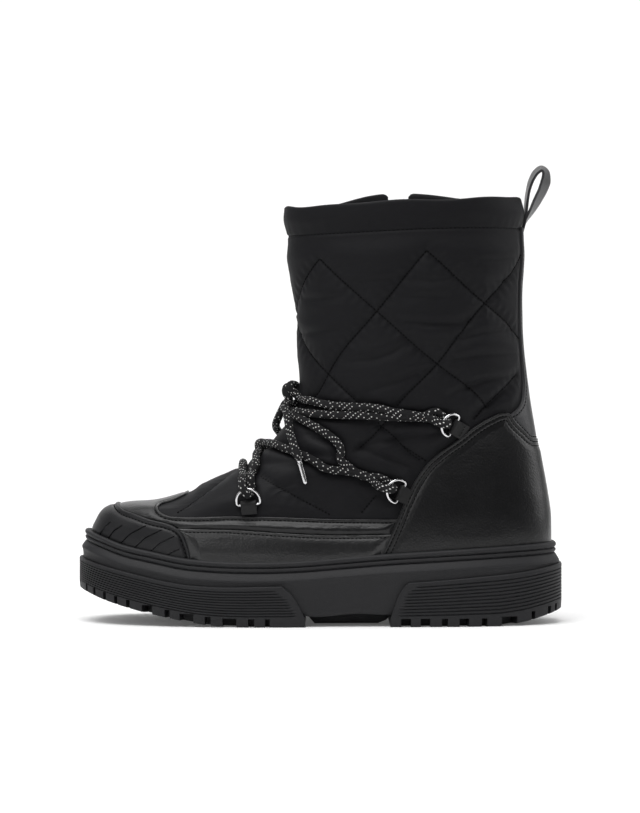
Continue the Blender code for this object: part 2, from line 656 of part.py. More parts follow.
# Zip on the inner side: woven tape in the slit, closed chain on it, slider at the top with a hanging pull tab
TAPE_THICKNESS = 1.4
TAPE_SINK = 1.0
CHAIN_WIDTH = 5.0
CHAIN_THICKNESS = 2.0
CHAIN_LIFT = TAPE_SINK - GAP
TAPE_TOP_Z = 255.0
CHAIN_TOP_Z = 251.0
ZIP_LEVELS = [level for level in LEVELS if level > 74.0]


def zip_strip(name, sink, thickness, width, low_z, high_z, material):
    """Strip that follows the upper's face between two heights at the zip."""
    strip = skin_sheet(name, -sink, ZIP_LEVELS, material)
    thicken(strip, thickness, -1.0)
    low = (ZIP_X - width / 2.0, -CUT_REACH, low_z)
    high = (ZIP_X + width / 2.0, -20.0, high_z)
    boolean(strip, box_cutter(name + "_span", low, high), "INTERSECT")


zip_strip("zip_tape", TAPE_SINK, TAPE_THICKNESS, ZIP_SLOT_WIDTH - 2.0 * GAP, ZIP_FOOT_Z + GAP,
          TAPE_TOP_Z, WEBBING)
zip_strip("zip_chain", CHAIN_LIFT - CHAIN_THICKNESS, CHAIN_THICKNESS, CHAIN_WIDTH, ZIP_FOOT_Z + 3.0,
          CHAIN_TOP_Z, DARK_METAL)

SLIDER_Z = 238.5
SLIDER_SIZE = (9.0, 11.0, 2.4)
EAR_SIZE = (1.3, 3.6, 4.0)
EAR_MIDDLE = 2.5
PIN_RADIUS = 0.8
PIN_RISE = 2.9
EYE_RADIUS = 1.9
EYE_HALF_LENGTH = 1.5
EYE_BORE = PIN_RADIUS + GAP
NECK_SIZE = (2.6, 6.0, 1.4)
PULL_SIZE = (6.0, 20.0, 1.4)
PULL_START = 5.0
slider_turn, slider_level = find_place(ZIP_X, SLIDER_Z, lateral=False)
slider_foot = skin(slider_turn, slider_level, CHAIN_THICKNESS - CHAIN_LIFT + 2.0 * GAP)
slider_normal = outward(slider_turn, slider_level)
slider_lean = math.atan2(slider_normal.z, -slider_normal.y)
slider_tilt = Matrix.Rotation(math.radians(90.0) - slider_lean, 4, "X")
slider_frame = Matrix.Translation(slider_foot * MM) @ slider_tilt
pin_middle = slider_frame @ Vector((0.0, 0.0, (SLIDER_SIZE[2] + PIN_RISE) * MM))


def block(mesh_data, size, middle):
    """Box of a size, in millimetres, about a middle point."""
    box = bmesh.ops.create_cube(mesh_data, size=1.0)["verts"]
    bmesh.ops.scale(mesh_data, vec=Vector(size) * MM, verts=box)
    bmesh.ops.translate(mesh_data, vec=Vector(middle) * MM, verts=box)


def rod(mesh_data, radius, length, middle, segments=12):
    """Round bar along X, in millimetres."""
    turned = Matrix.Translation(Vector(middle) * MM) @ Matrix.Rotation(math.radians(90.0), 4, "Y")
    bmesh.ops.create_cone(mesh_data, cap_ends=True, segments=segments, radius1=radius * MM,
                          radius2=radius * MM, depth=length * MM, matrix=turned)


def from_pieces(name, shapes, material, frame):
    """Object from a first shape and later ones as hidden union tools; a shape is (maker, arguments)."""
    made = None
    for index, (maker, arguments) in enumerate(shapes):
        mesh_data = bmesh.new()
        maker(mesh_data, *arguments)
        mesh = bpy.data.meshes.new(name if index == 0 else "%s_tool_%d" % (name, index))
        mesh_data.to_mesh(mesh)
        mesh_data.free()
        if index == 0:
            made = add_part(name, mesh, material)
            made.matrix_world = frame
        else:
            tool = hide_cutter(add_part(mesh.name, mesh, material, cutters))
            tool.matrix_world = frame
            boolean(made, tool, "UNION")
    return made


ear_height = SLIDER_SIZE[2] + EAR_SIZE[2] / 2.0 - 0.2
from_pieces(
    "zip_slider",
    [
        (block, (SLIDER_SIZE, (0.0, 0.0, SLIDER_SIZE[2] / 2.0))),
        (block, (EAR_SIZE, (EAR_MIDDLE, 0.0, ear_height))),
        (block, (EAR_SIZE, (-EAR_MIDDLE, 0.0, ear_height))),
        (rod, (PIN_RADIUS, 2.0 * EAR_MIDDLE, (0.0, 0.0, SLIDER_SIZE[2] + PIN_RISE))),
    ],
    DARK_METAL,
    slider_frame,
)
pull_frame = Matrix.Translation(pin_middle)
pull_tab = from_pieces(
    "zip_pull_tab",
    [
        (block, (PULL_SIZE, (0.0, 0.0, 0.0))),
        (block, (NECK_SIZE, (0.0, PULL_SIZE[1] / 2.0 + NECK_SIZE[1] / 2.0 - 1.2, 0.0))),
        (rod, (EYE_RADIUS, 2.0 * EYE_HALF_LENGTH, (0.0, PULL_SIZE[1] / 2.0 + PULL_START, 0.0))),
    ],
    DARK_METAL,
    pull_frame @ Matrix.Rotation(math.radians(90.0), 4, "X")
    @ Matrix.Translation((0.0, -(PULL_SIZE[1] / 2.0 + PULL_START) * MM, 0.0)),
)
eye_bore = bmesh.new()
rod(eye_bore, EYE_BORE, 4.0 * EYE_HALF_LENGTH, (0.0, 0.0, 0.0))
eye_mesh = bpy.data.meshes.new("eye_bore")
eye_bore.to_mesh(eye_mesh)
eye_bore.free()
eye_tool = hide_cutter(add_part("eye_bore", eye_mesh, DARK_METAL, cutters))
eye_tool.matrix_world = pull_frame
boolean(pull_tab, eye_tool, "DIFFERENCE")

# D-rings and the folded tabs that hold them: three on each side.
# Each row gives the middle of the ring's bar in the side view, the way its bow points, and the tab's tail.
RingPlace = namedtuple("RingPlace", "name lateral bar_x bar_z bow_x bow_z tail")
RING_PLACES = (
    RingPlace("lateral_1", True, 41.8, 71.2, 0.10, 1.0, 5.6),
    RingPlace("lateral_2", True, -47.6, 78.0, 0.88, 0.47, 3.2),
    RingPlace("lateral_3", True, -78.6, 117.6, 0.87, 0.49, 4.0),
    RingPlace("medial_1", False, 41.8, 71.2, 0.10, 1.0, 5.6),
    RingPlace("medial_2", False, -30.0, 80.0, 0.88, 0.47, 4.2),
    RingPlace("medial_3", False, -33.0, 113.0, 0.87, 0.49, 5.0),
)
RING_WIRE = 0.9
RING_HALF_WIDTH = 6.3
RING_SHOULDER = 2.0
TAB_THICKNESS = 0.9
TAB_HALF_WIDTH = 4.6
TAB_BORE = RING_WIRE + 0.3
TAB_ROUND = TAB_BORE + TAB_THICKNESS
BAR_LIFT = GAP + TAB_ROUND
BOW_TOP = RING_SHOULDER + RING_HALF_WIDTH


def ring_frame(place):
    """Frame on the upper at a ring's bar: X along the bar, Y to the bow, Z out."""
    turn, level = find_place(place.bar_x, place.bar_z, place.lateral)
    out = outward(turn, level)
    bow = Vector((place.bow_x, 0.0, place.bow_z))
    bow = (bow - out * bow.dot(out)).normalized()
    bar = bow.cross(out)
    frame = Matrix((bar, bow, out)).transposed().to_4x4()
    frame.translation = surface(turn, level) * MM
    return frame


def ring_outline():
    """Centre line of a D-ring in its own plane."""
    corner = 0.8
    line = [(-RING_HALF_WIDTH + corner, 0.0), (RING_HALF_WIDTH - corner, 0.0), (RING_HALF_WIDTH, corner)]
    for step in range(7):
        angle = math.pi * step / 6.0
        line.append((RING_HALF_WIDTH * math.cos(angle), RING_SHOULDER + RING_HALF_WIDTH * math.sin(angle)))
    return line + [(-RING_HALF_WIDTH, corner)]


def tab_outlines(tail):
    """Section across a tab: folded round the bar, with its tail on the upper; and the bar's bore."""
    outer = [(-tail, GAP)]
    for step in range(7):
        angle = math.radians(-90.0 + 36.6 * step)
        outer.append((TAB_ROUND * math.cos(angle), BAR_LIFT + TAB_ROUND * math.sin(angle)))
    outer.append((-tail, GAP + 2.0 * TAB_THICKNESS))
    bore = []
    for step in range(8):
        angle = math.radians(45.0 * step)
        bore.append((TAB_BORE * math.cos(angle), BAR_LIFT + TAB_BORE * math.sin(angle)))
    return [outer, bore]


def tube(name, points, radius, material, cyclic=False, resolution=2):
    """Round tube through points in metres."""
    curve = bpy.data.curves.new(name, "CURVE")
    curve.dimensions = "3D"
    curve.bevel_depth = radius * MM
    curve.bevel_resolution = resolution
    curve.use_fill_caps = True
    spline = curve.splines.new("POLY")
    spline.points.add(len(points) - 1)
    spline.use_cyclic_u = cyclic
    for target, point in zip(spline.points, points):
        target.co = (*point, 1.0)
    made = bpy.data.objects.new(name, curve)
    curve.materials.append(material)
    parts.objects.link(made)
    return made


TAB_PLANE = Matrix(((0, 0, 1, 0), (1, 0, 0, 0), (0, 1, 0, 0), (0, 0, 0, 1)))
ring_frames = {}
for place in RING_PLACES:
    frame = ring_frame(place)
    ring_frames[place.name] = frame
    wire = [frame @ Vector((across * MM, up * MM, BAR_LIFT * MM)) for across, up in ring_outline()]
    tube("d_ring_" + place.name, wire, RING_WIRE, STEEL, cyclic=True, resolution=1)
    plate("ring_tab_" + place.name, tab_outlines(place.tail), TAB_HALF_WIDTH, frame @ TAB_PLANE, WEBBING)

# Lace: crossings over the instep as one joined solid that stops clear of the rings;
# the knot and the two free ends are cord
LACE_RADIUS = 2.4
LACE_LIFT = LACE_RADIUS + 1.1
LACE_STEP = 12.0
LACE_CLEAR = BOW_TOP + RING_WIRE + 2.2


def smooth_route(points, step):
    """Points at even steps on a smooth curve through a route, in millimetres."""
    knots = [0.0]
    for start, stop in zip(points, points[1:]):
        knots.append(knots[-1] + (stop - start).length)
    count = max(3, round(knots[-1] / step))
    return [smooth_value(knots, points, knots[-1] * index / count) for index in range(count + 1)]


def place_on(x, z, lateral=True):
    """Turn and level at a place of the side view, with the inner side's turns below zero."""
    turn, level = find_place(x, z, lateral)
    return Vector((turn if lateral else turn - 1.0, level))


def beside_ring(name):
    """Turn and level where a lace stops beside a ring."""
    point = (ring_frames[name] @ Vector((0.0, LACE_CLEAR * MM, 0.0))) / MM
    return place_on(point.x, point.z, name.startswith("lateral"))


def on_skin(places, lift, step):
    """Even points, in metres, of a lace that follows the upper through places of turn and level."""
    knots = [0.0]
    for start, stop in zip(places, places[1:]):
        knots.append(knots[-1] + (skin(*stop) - skin(*start)).length)
    count = max(3, round(knots[-1] / step))
    route = [smooth_value(knots, places, knots[-1] * index / count) for index in range(count + 1)]
    return [skin(turn, level, lift) * MM for turn, level in route]


BAR_RIDGE = Vector((0.0, 94.5))
CROSS_RIDGE = Vector((0.0, 105.0))
TOP_RIDGE = Vector((0.0, 126.0))
strands = {
    "bar": [beside_ring("lateral_1"), place_on(44.6, 88.0), BAR_RIDGE, place_on(44.6, 88.0, False),
            beside_ring("medial_1")],
    "low_out": [beside_ring("lateral_1"), place_on(37.0, 91.5), CROSS_RIDGE, place_on(12.0, 99.0, False),
                beside_ring("medial_2")],
    "low_in": [beside_ring("medial_1"), place_on(37.0, 91.5, False), CROSS_RIDGE, place_on(12.7, 100.6),
               place_on(-17.9, 91.0), beside_ring("lateral_2")],
    "high_out": [beside_ring("lateral_2"), place_on(-11.8, 106.0), place_on(8.0, 120.0), TOP_RIDGE,
                 place_on(4.0, 122.5, False), beside_ring("medial_3")],
    "high_in": [beside_ring("medial_2"), place_on(2.0, 112.0, False), TOP_RIDGE, place_on(-5.9, 124.0),
                place_on(-35.5, 124.0), beside_ring("lateral_3")],
    "top_lateral": [beside_ring("lateral_3"), place_on(-35.5, 128.4), place_on(-5.9, 130.0),
                    place_on(5.5, 133.0)],
    "top_medial": [beside_ring("medial_3"), place_on(-5.9, 128.0, False), place_on(5.5, 132.0, False)],
}
lace = None
for name, places in strands.items():
    strand = tube("lace_" + name, on_skin(places, LACE_LIFT, LACE_STEP), LACE_RADIUS, LACE, resolution=1)
    strand = curve_mesh(strand, "lace_crossings" if lace is None else "lace_" + name, LACE,
                        parts if lace is None else cutters)
    if lace is None:
        lace = strand
    else:
        boolean(lace, hide_cutter(strand), "UNION")

KNOT_RADII = Vector((5.0, 7.0, 6.6))
KNOT_LEVEL = 140.0
KNOT_MIDDLE = skin(0.0, KNOT_LEVEL, KNOT_RADII.x + 2.0 * GAP)
knot_data = bmesh.new()
bmesh.ops.create_uvsphere(knot_data, u_segments=14, v_segments=8, radius=MM)
bmesh.ops.scale(knot_data, vec=KNOT_RADII, verts=knot_data.verts)
bmesh.ops.translate(knot_data, vec=KNOT_MIDDLE * MM, verts=knot_data.verts)
knot_mesh = bpy.data.meshes.new("lace_knot")
knot_data.to_mesh(knot_mesh)
knot_data.free()
knot_mesh.shade_smooth()
add_part("lace_knot", knot_mesh, LACE)

END_LIFT = 3.0 * LACE_RADIUS + 1.7


def over_side(x, z, lateral, lift):
    """Point over the upper at a place of the side view."""
    turn, level = find_place(x, z, lateral)
    return skin(turn, level, lift)


AGLET_RADIUS = 1.7
lateral_end = [over_side(13.2, 125.6, True, END_LIFT), over_side(12.9, 117.4, True, END_LIFT),
               over_side(12.4, 108.4, True, END_LIFT), over_side(11.2, 100.3, True, END_LIFT),
               over_side(10.2, 94.1, True, END_LIFT - 0.6)]
lateral_tip = [over_side(10.1, 93.4, True, END_LIFT - 0.8), over_side(7.4, 79.4, True, END_LIFT - 4.0)]
front_end = [Vector((21.2, -2.0, 130.2)), Vector((25.6, -6.0, 121.0)),
             over_side(20.0, 112.0, False, END_LIFT), over_side(17.0, 103.0, False, END_LIFT + 0.4),
             over_side(14.0, 94.0, False, END_LIFT + 0.2), over_side(12.6, 88.0, False, END_LIFT - 0.8)]
front_tip = [over_side(12.4, 87.2, False, END_LIFT - 1.0), over_side(10.0, 73.4, False, END_LIFT - 4.0)]
for side, route, tip in (("lateral", lateral_end, lateral_tip), ("front", front_end, front_tip)):
    tube("lace_end_" + side, [point * MM for point in smooth_route(route, LACE_STEP)], LACE_RADIUS, LACE)
    tube("aglet_" + side, [point * MM for point in tip], AGLET_RADIUS, STEEL)
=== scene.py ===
"""Winter boot, dressed: quilted nylon, leather bands, rubber guard and sole, D-ring lacing, inside zip."""

import math
from collections import namedtuple

import bmesh
import bpy
import numpy as np
from mathutils import Matrix, Vector, kdtree, noise


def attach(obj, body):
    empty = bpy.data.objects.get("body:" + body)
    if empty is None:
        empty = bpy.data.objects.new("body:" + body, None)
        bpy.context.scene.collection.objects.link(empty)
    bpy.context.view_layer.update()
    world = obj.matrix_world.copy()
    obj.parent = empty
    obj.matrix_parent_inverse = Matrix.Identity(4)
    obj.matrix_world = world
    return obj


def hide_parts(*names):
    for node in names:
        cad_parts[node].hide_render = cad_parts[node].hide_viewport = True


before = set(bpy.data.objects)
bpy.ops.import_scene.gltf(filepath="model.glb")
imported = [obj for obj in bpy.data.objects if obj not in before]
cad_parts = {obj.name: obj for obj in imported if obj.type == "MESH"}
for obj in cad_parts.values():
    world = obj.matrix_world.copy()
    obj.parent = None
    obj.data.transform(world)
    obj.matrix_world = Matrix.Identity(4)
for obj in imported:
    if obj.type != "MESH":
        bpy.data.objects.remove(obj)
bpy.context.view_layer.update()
MM = 0.001

# Stage: a pale floor that sweeps up into a white wall, a broad soft box overhead and paler panels of
# light at both ends and in front. The camera stands far off on the outer side, just above half the
# boot's height.
scene = bpy.context.scene
scene.view_settings.view_transform = "Standard"
CAMERA_PLACE = Vector((0.0, 2.0, 0.165))
CAMERA_AIM = Vector((0.0, 0.0, 0.1288))
CAMERA_LENS = 147.2
FLOOR_HALF_WIDTH = 4.0
FLOOR_FRONT = 0.95
SWEEP_START = -1.4
SWEEP_RADIUS = 1.2
WALL_TOP = 3.0
SWEEP_ROWS = 40


class Shade:
    """One socket of a shader; arithmetic on it adds Math nodes."""

    def __init__(self, tree, socket=None):
        self.tree = tree
        self.socket = socket

    def node(self, kind, settings=None, sockets=None, output=0):
        """Any node: its settings are set first, then the values or links of its sockets."""
        made = self.tree.nodes.new(kind)
        for name, value in (settings or {}).items():
            setattr(made, name, value)
        for name, value in (sockets or {}).items():
            if isinstance(value, Shade):
                self.tree.links.new(value.socket, made.inputs[name])
            else:
                made.inputs[name].default_value = value
        return Shade(self.tree, made.outputs[output])

    def math(self, operation, *terms):
        """Math node on values or sockets."""
        return self.node("ShaderNodeMath", {"operation": operation}, dict(enumerate(terms)))

    def noise(self, scale, detail=2.0, **more):
        """Noise texture at this place."""
        sockets = {"Vector": self, "Scale": scale, "Detail": detail, **more}
        return self.node("ShaderNodeTexNoise", None, sockets)

    def wave(self, direction, scale):
        """Bands of a wave texture at this place."""
        sockets = {"Vector": self, "Scale": scale}
        return self.node("ShaderNodeTexWave", {"bands_direction": direction}, sockets)

    def tone(self, dark, pale):
        """Colour between two others by this share."""
        return self.node("ShaderNodeMix", {"data_type": "RGBA"}, {0: self, 6: dark, 7: pale}, output=2)

    def bump(self, strength, distance, **more):
        """Normal of a surface raised by this height."""
        sockets = {"Strength": strength, "Distance": distance, "Height": self, **more}
        return self.node("ShaderNodeBump", None, sockets)

    def __add__(self, other):
        return self.math("ADD", self, other)

    def __sub__(self, other):
        return self.math("SUBTRACT", self, other)

    def __rsub__(self, other):
        return self.math("SUBTRACT", other, self)

    def __mul__(self, other):
        return self.math("MULTIPLY", self, other)

    def __truediv__(self, other):
        return self.math("DIVIDE", self, other)

    def __rtruediv__(self, other):
        return self.math("DIVIDE", other, self)

    __radd__ = __add__
    __rmul__ = __mul__


def new_finish(name, constants, coordinates="Object"):
    """Principled material with its constant sockets set: the material, its coordinates and its shader."""
    made = bpy.data.materials.new(name)
    made.use_nodes = True
    shader = made.node_tree.nodes["Principled BSDF"]
    for socket, value in constants.items():
        shader.inputs[socket].default_value = value
    return made, Shade(made.node_tree).node("ShaderNodeTexCoord", output=coordinates), shader


def feed(shader, links):
    """Link what changes over the surface to the shader's sockets."""
    for socket, shade in links.items():
        shade.tree.links.new(shade.socket, shader.inputs[socket])


def soft_box(name, place, aim, width, height, power):
    """Rectangular area light."""
    light = bpy.data.lights.new(name, "AREA")
    light.shape = "RECTANGLE"
    light.size = width
    light.size_y = height
    light.energy = power
    holder = bpy.data.objects.new(name, light)
    holder.location = place
    holder.rotation_euler = (Vector(aim) - Vector(place)).to_track_quat("-Z", "Y").to_euler()
    scene.collection.objects.link(holder)


def new_object(name, made):
    """Object of the scene made from a bmesh, which is freed."""
    mesh = bpy.data.meshes.new(name)
    made.to_mesh(mesh)
    made.free()
    holder = bpy.data.objects.new(name, mesh)
    scene.collection.objects.link(holder)
    return holder


lens = bpy.data.cameras.new("photo_camera")
lens.lens = CAMERA_LENS
lens.sensor_width = 36.0
camera = bpy.data.objects.new("photo_camera", lens)
camera.location = CAMERA_PLACE
camera.rotation_euler = (CAMERA_AIM - CAMERA_PLACE).to_track_quat("-Z", "Y").to_euler()
scene.collection.objects.link(camera)
scene.camera = camera

world = bpy.data.worlds.new("white_surround")
world.use_nodes = True
backdrop = world.node_tree.nodes["Background"]
backdrop.inputs["Color"].default_value = (1.0, 1.0, 1.0, 1.0)
backdrop.inputs["Strength"].default_value = 0.07
scene.world = world
soft_box("overhead_box", (0.3, 0.55, 1.65), (0.0, 0.0, 0.0), 1.9, 1.2, 34.0)
soft_box("front_panel", (0.75, 1.85, 0.95), (0.05, 0.0, 0.06), 0.7, 0.55, 5.0)
soft_box("toe_panel", (1.5, 0.3, 0.9), (0.0, 0.0, 0.1), 0.8, 1.2, 2.2)
soft_box("heel_panel", (-1.5, -0.2, 0.8), (0.0, 0.0, 0.12), 0.8, 1.2, 9.0)
soft_box("wall_box", (0.0, -0.9, 2.2), (0.0, -2.4, 0.7), 3.0, 1.0, 36.0)

sweep = bmesh.new()
bmesh.ops.create_grid(sweep, x_segments=2, y_segments=SWEEP_ROWS, size=1.0)
flat_run = FLOOR_FRONT - SWEEP_START
bend_run = SWEEP_RADIUS * math.pi / 2.0
whole_run = flat_run + bend_run + WALL_TOP
for vertex in sweep.verts:
    run = (vertex.co.y + 1.0) / 2.0 * whole_run
    across = vertex.co.x * FLOOR_HALF_WIDTH
    bend = min(max(run - flat_run, 0.0), bend_run) / SWEEP_RADIUS
    rise = max(run - flat_run - bend_run, 0.0)
    depth = min(run, flat_run) + SWEEP_RADIUS * math.sin(bend)
    vertex.co = (across, FLOOR_FRONT - depth, SWEEP_RADIUS * (1.0 - math.cos(bend)) + rise)
studio_floor = new_object("studio_floor", sweep)
studio_floor.data.shade_smooth()
floor_finish, _, _ = new_finish("pale_floor", {
    "Base Color": (0.93, 0.93, 0.93, 1.0), "Roughness": 0.7,
    "Emission Color": (1.0, 1.0, 1.0, 1.0), "Emission Strength": 0.08,
})
studio_floor.data.materials.append(floor_finish)

# Midsole: one moulded block of matte black foam rubber with a bevelled shoulder and two welt beads
# round its top. It is cemented to the upper inside a low rim and carries the two outsole pieces.
SECTION_FIELDS = "level front_x front_z side_x back_x back_z lateral medial front_round back_round foot"
Section = namedtuple("Section", SECTION_FIELDS)
SOLE_HALF_LENGTH = 145.0
SOLE = Section(0.0, SOLE_HALF_LENGTH, 0.0, 58.0, -SOLE_HALF_LENGTH, 0.0, 53.0, 52.0, 2.35, 3.1, 1.0)
WAIST_X = -24.0
WAIST_LENGTH = 46.0
WAIST_LATERAL = 0.07
WAIST_MEDIAL = 0.15
TOE_IN = 8.0
GAP = 0.35
RIM_HEIGHT = 3.0
SOLE_TOP = ((-145, 48.8), (-91, 45.9), (-63, 44.3), (-41, 43.0), (-12, 40.7), (12, 38.9), (41, 38.2),
            (65, 38.9), (80, 40.2), (99, 43.8), (118, 47.8), (131, 52.2), (145, 57.0))
BELLY = ((-145, 19.0), (-122, 12.8), (-106, 10.6), (-62, 10.4), (-46, 7.2), (-22, 7.6), (6, 6.0), (30, 10.4),
         (60, 11.2), (90, 15.6), (112, 20.4), (132, 26.0), (145, 30.5))
SOLE_COLUMNS = 300
# Inset from the sole's outline and depth below its top, from the belly's edge up to the rim
SHOULDER_AND_BEADS = ((2.3, 13.4), (1.5, 11.9), (1.6, 10.9), (3.6, 7.6), (4.1, 7.0), (5.2, 6.5), (3.9, 6.0),
                      (3.5, 5.0), (3.8, 4.1), (5.2, 3.6), (3.8, 3.1), (3.3, 1.9), (3.7, 0.7), (4.8, 0.0))
BELLY_INSET = 2.4
BELLY_EDGE = 1.6
BELLY_FLAT = 2.0
KEEL_INSET = 20.0
KEEL_BEVEL = 1.6
KEEL_FLOOR = 0.8
KEEL_BACK = (-41.0, -38.0)
KEEL_FRONT = (8.0, 5.0)
RIM_INSET = 9.5
PLAN_POINTS = 720
TURN_STEP = 0.002
WELD = 0.0000001


def curve_weights(knots, places):
    """Weight of each knot's value at places on the smooth curve through all of them."""
    knots = np.asarray(knots, float)
    places = np.clip(np.ravel(places).astype(float), knots[0], knots[-1])
    count = len(knots)
    gaps = np.diff(knots)
    slopes = np.zeros((count, count))
    slopes[0, :2] = (-1.0 / gaps[0], 1.0 / gaps[0])
    slopes[-1, -2:] = (-1.0 / gaps[-1], 1.0 / gaps[-1])
    for row in range(1, count - 1):
        before = gaps[row - 1]
        after = gaps[row]
        slopes[row, row - 1] = -after / before / (before + after)
        slopes[row, row] = (after / before - before / after) / (before + after)
        slopes[row, row + 1] = before / after / (before + after)
    index = np.clip(np.searchsorted(knots, places) - 1, 0, count - 2)
    span = gaps[index]
    part = (places - knots[index]) / span
    each = np.arange(len(places))
    weights = np.zeros((len(places), count))
    weights[each, index] += 2.0 * part ** 3 - 3.0 * part ** 2 + 1.0
    weights[each, index + 1] += 3.0 * part ** 2 - 2.0 * part ** 3
    weights += (span * (part ** 3 - 2.0 * part ** 2 + part))[:, None] * slopes[index]
    weights += (span * (part ** 3 - part ** 2))[:, None] * slopes[index + 1]
    return weights


def along(table, places):
    """Heights from a two-column table at places along its first column."""
    values = np.array([row[1] for row in table], float)
    return curve_weights([row[0] for row in table], places) @ values


def fade(low, high, value):
    """Smooth step from 0 to 1."""
    share = np.clip((value - low) / (high - low), 0.0, 1.0)
    return share * share * (3.0 - 2.0 * share)


def plan(section, turn):
    """Plan of a section (turn 0 toe, 0.25 outer side, 0.5 heel) as x, y and the reach to its end."""
    forward = np.cos(2.0 * np.pi * turn)
    sideways = np.sin(2.0 * np.pi * turn)
    power = np.where(forward >= 0.0, section.front_round, section.back_round)
    scale = (np.abs(forward) ** power + np.abs(sideways) ** power) ** (-1.0 / power)
    reach = forward * scale
    span = np.where(forward >= 0.0, section.front_x - section.side_x, section.side_x - section.back_x)
    x = section.side_x + reach * span
    half = np.where(sideways >= 0.0, section.lateral, section.medial)
    pinch = np.where(sideways >= 0.0, WAIST_LATERAL, WAIST_MEDIAL)
    y = half * sideways * scale
    y = y * (1.0 - section.foot * pinch * np.exp(-((x - WAIST_X) / WAIST_LENGTH) ** 2))
    y = y - section.foot * TOE_IN * fade(0.0, SOLE_HALF_LENGTH, x)
    return x, y, reach


outline_sides = plan(SOLE, np.arange(PLAN_POINTS) / PLAN_POINTS)[1]
CENTRE_Y = (outline_sides.max() + outline_sides.min()) / 2.0


def sole_ring(inset, height, columns=SOLE_COLUMNS):
    """Ring of the sole's outline moved in by inset, at a height that follows x."""
    turn = np.arange(columns) / columns
    x, y, _ = plan(SOLE, turn)
    ahead_x, ahead_y, _ = plan(SOLE, turn + TURN_STEP)
    behind_x, behind_y, _ = plan(SOLE, turn - TURN_STEP)
    length = np.hypot(ahead_x - behind_x, ahead_y - behind_y)
    x = x - (ahead_y - behind_y) / length * inset
    y = y + (ahead_x - behind_x) / length * inset
    return np.stack([x, y - CENTRE_Y, height(x)], axis=-1)


def cut_corners(rings, times):
    """Round a stack of rings across its rows by cutting every corner, with the end rows kept."""
    for _ in range(times):
        near = rings[:-1] * 0.75 + rings[1:] * 0.25
        far = rings[:-1] * 0.25 + rings[1:] * 0.75
        middle = np.stack([near, far], axis=1).reshape(-1, *rings.shape[1:])
        rings = np.concatenate([rings[:1], middle, rings[-1:]])
    return rings


def grid_form(points, wrap=False):
    """Grid of faces through rows of points in millimetres; wrap joins the last column to the first."""
    if wrap:
        points = np.concatenate([points, points[:, :1]], axis=1)
    rows, columns = points.shape[:2]
    made = bmesh.new()
    bmesh.ops.create_grid(made, x_segments=columns - 1, y_segments=rows - 1, size=1.0)
    for vertex, point in zip(made.verts, points.reshape(-1, 3) * MM):
        vertex.co = point
    if wrap:
        bmesh.ops.remove_doubles(made, verts=made.verts, dist=WELD)
    return made


def fill_ends(made, count):
    """Close both ends of a wrapped grid with faces that run across from side to side."""
    open_edges = [edge for edge in made.edges if edge.is_boundary]
    for cap in bmesh.ops.holes_fill(made, edges=open_edges, sides=0)["faces"]:
        corners = sorted(cap.verts, key=lambda vertex: -vertex.co.x)
        lead = list(cap.verts).index(corners[0])
        ordered = list(cap.verts)[lead:] + list(cap.verts)[:lead]
        rest = cap
        for step in range(1, count // 2):
            split, _ = bmesh.utils.face_split(rest, ordered[step], ordered[count - step])
            rest = split if ordered[count // 2] in split.verts else rest
    bmesh.ops.recalc_face_normals(made, faces=made.faces)


def add_piece(name, made, finish, replaces=(), sharp=None, body="boot"):
    """Piece from a bmesh, smooth apart from edges sharper than an angle, riding on a body of the frame."""
    piece = new_object(name, made)
    piece.data.materials.append(finish)
    piece.data.shade_smooth()
    if sharp is not None:
        piece.data.set_sharp_from_angle(angle=math.radians(sharp))
    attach(piece, body)
    if replaces:
        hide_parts(*replaces)
    return piece


def moulded_finish(name, dark, pale, low_rough, high_rough, grain_scale, grain_depth):
    """Matte moulded rubber: faint clouds of tone, fine pebble grain and scuffed roughness."""
    finish, place, shader = new_finish(name, {"Specular IOR Level": 0.3})
    cloud = place.noise(45.0, 4.0)
    grain = place.node("ShaderNodeTexVoronoi", None, {"Vector": place, "Scale": grain_scale})
    scuff = place.noise(420.0, 3.0)
    rough = low_rough + (high_rough - low_rough) * (cloud * 0.5 + scuff * 0.5)
    bump = (grain + scuff * 0.6).bump(0.6, grain_depth)
    feed(shader, {"Base Color": cloud.tone(dark, pale), "Roughness": rough, "Normal": bump})
    return finish


FOAM = moulded_finish("foam_rubber", (0.0105, 0.0105, 0.0118, 1.0), (0.016, 0.016, 0.0176, 1.0), 0.5, 0.7,
                      1500.0, 0.00012)


def belly(x):
    """Underside of the midsole."""
    return along(BELLY, x)


def keel_foot(x):
    """Underside of the keel that stiffens the arch between the two outsole pieces."""
    return belly(x) + (KEEL_FLOOR - belly(x)) * fade(*KEEL_BACK, x) * fade(*KEEL_FRONT, x)


midsole_rows = [
    sole_ring(KEEL_INSET + KEEL_BEVEL, keel_foot),
    sole_ring(KEEL_INSET, keel_foot),
    sole_ring(KEEL_INSET - KEEL_BEVEL, belly),
    sole_ring(BELLY_INSET + BELLY_EDGE + BELLY_FLAT, belly),
    sole_ring(BELLY_INSET + BELLY_EDGE, belly),
    sole_ring(BELLY_INSET, lambda x: belly(x) + BELLY_EDGE),
]
for inset, drop in SHOULDER_AND_BEADS + ((RIM_INSET, 0.0), (RIM_INSET, RIM_HEIGHT)):
    midsole_rows.append(sole_ring(inset, lambda x: along(SOLE_TOP, x) - drop))
midsole_form = grid_form(cut_corners(np.array(midsole_rows), 2), wrap=True)
fill_ends(midsole_form, SOLE_COLUMNS)
add_piece("midsole_body", midsole_form, FOAM, ["midsole"])

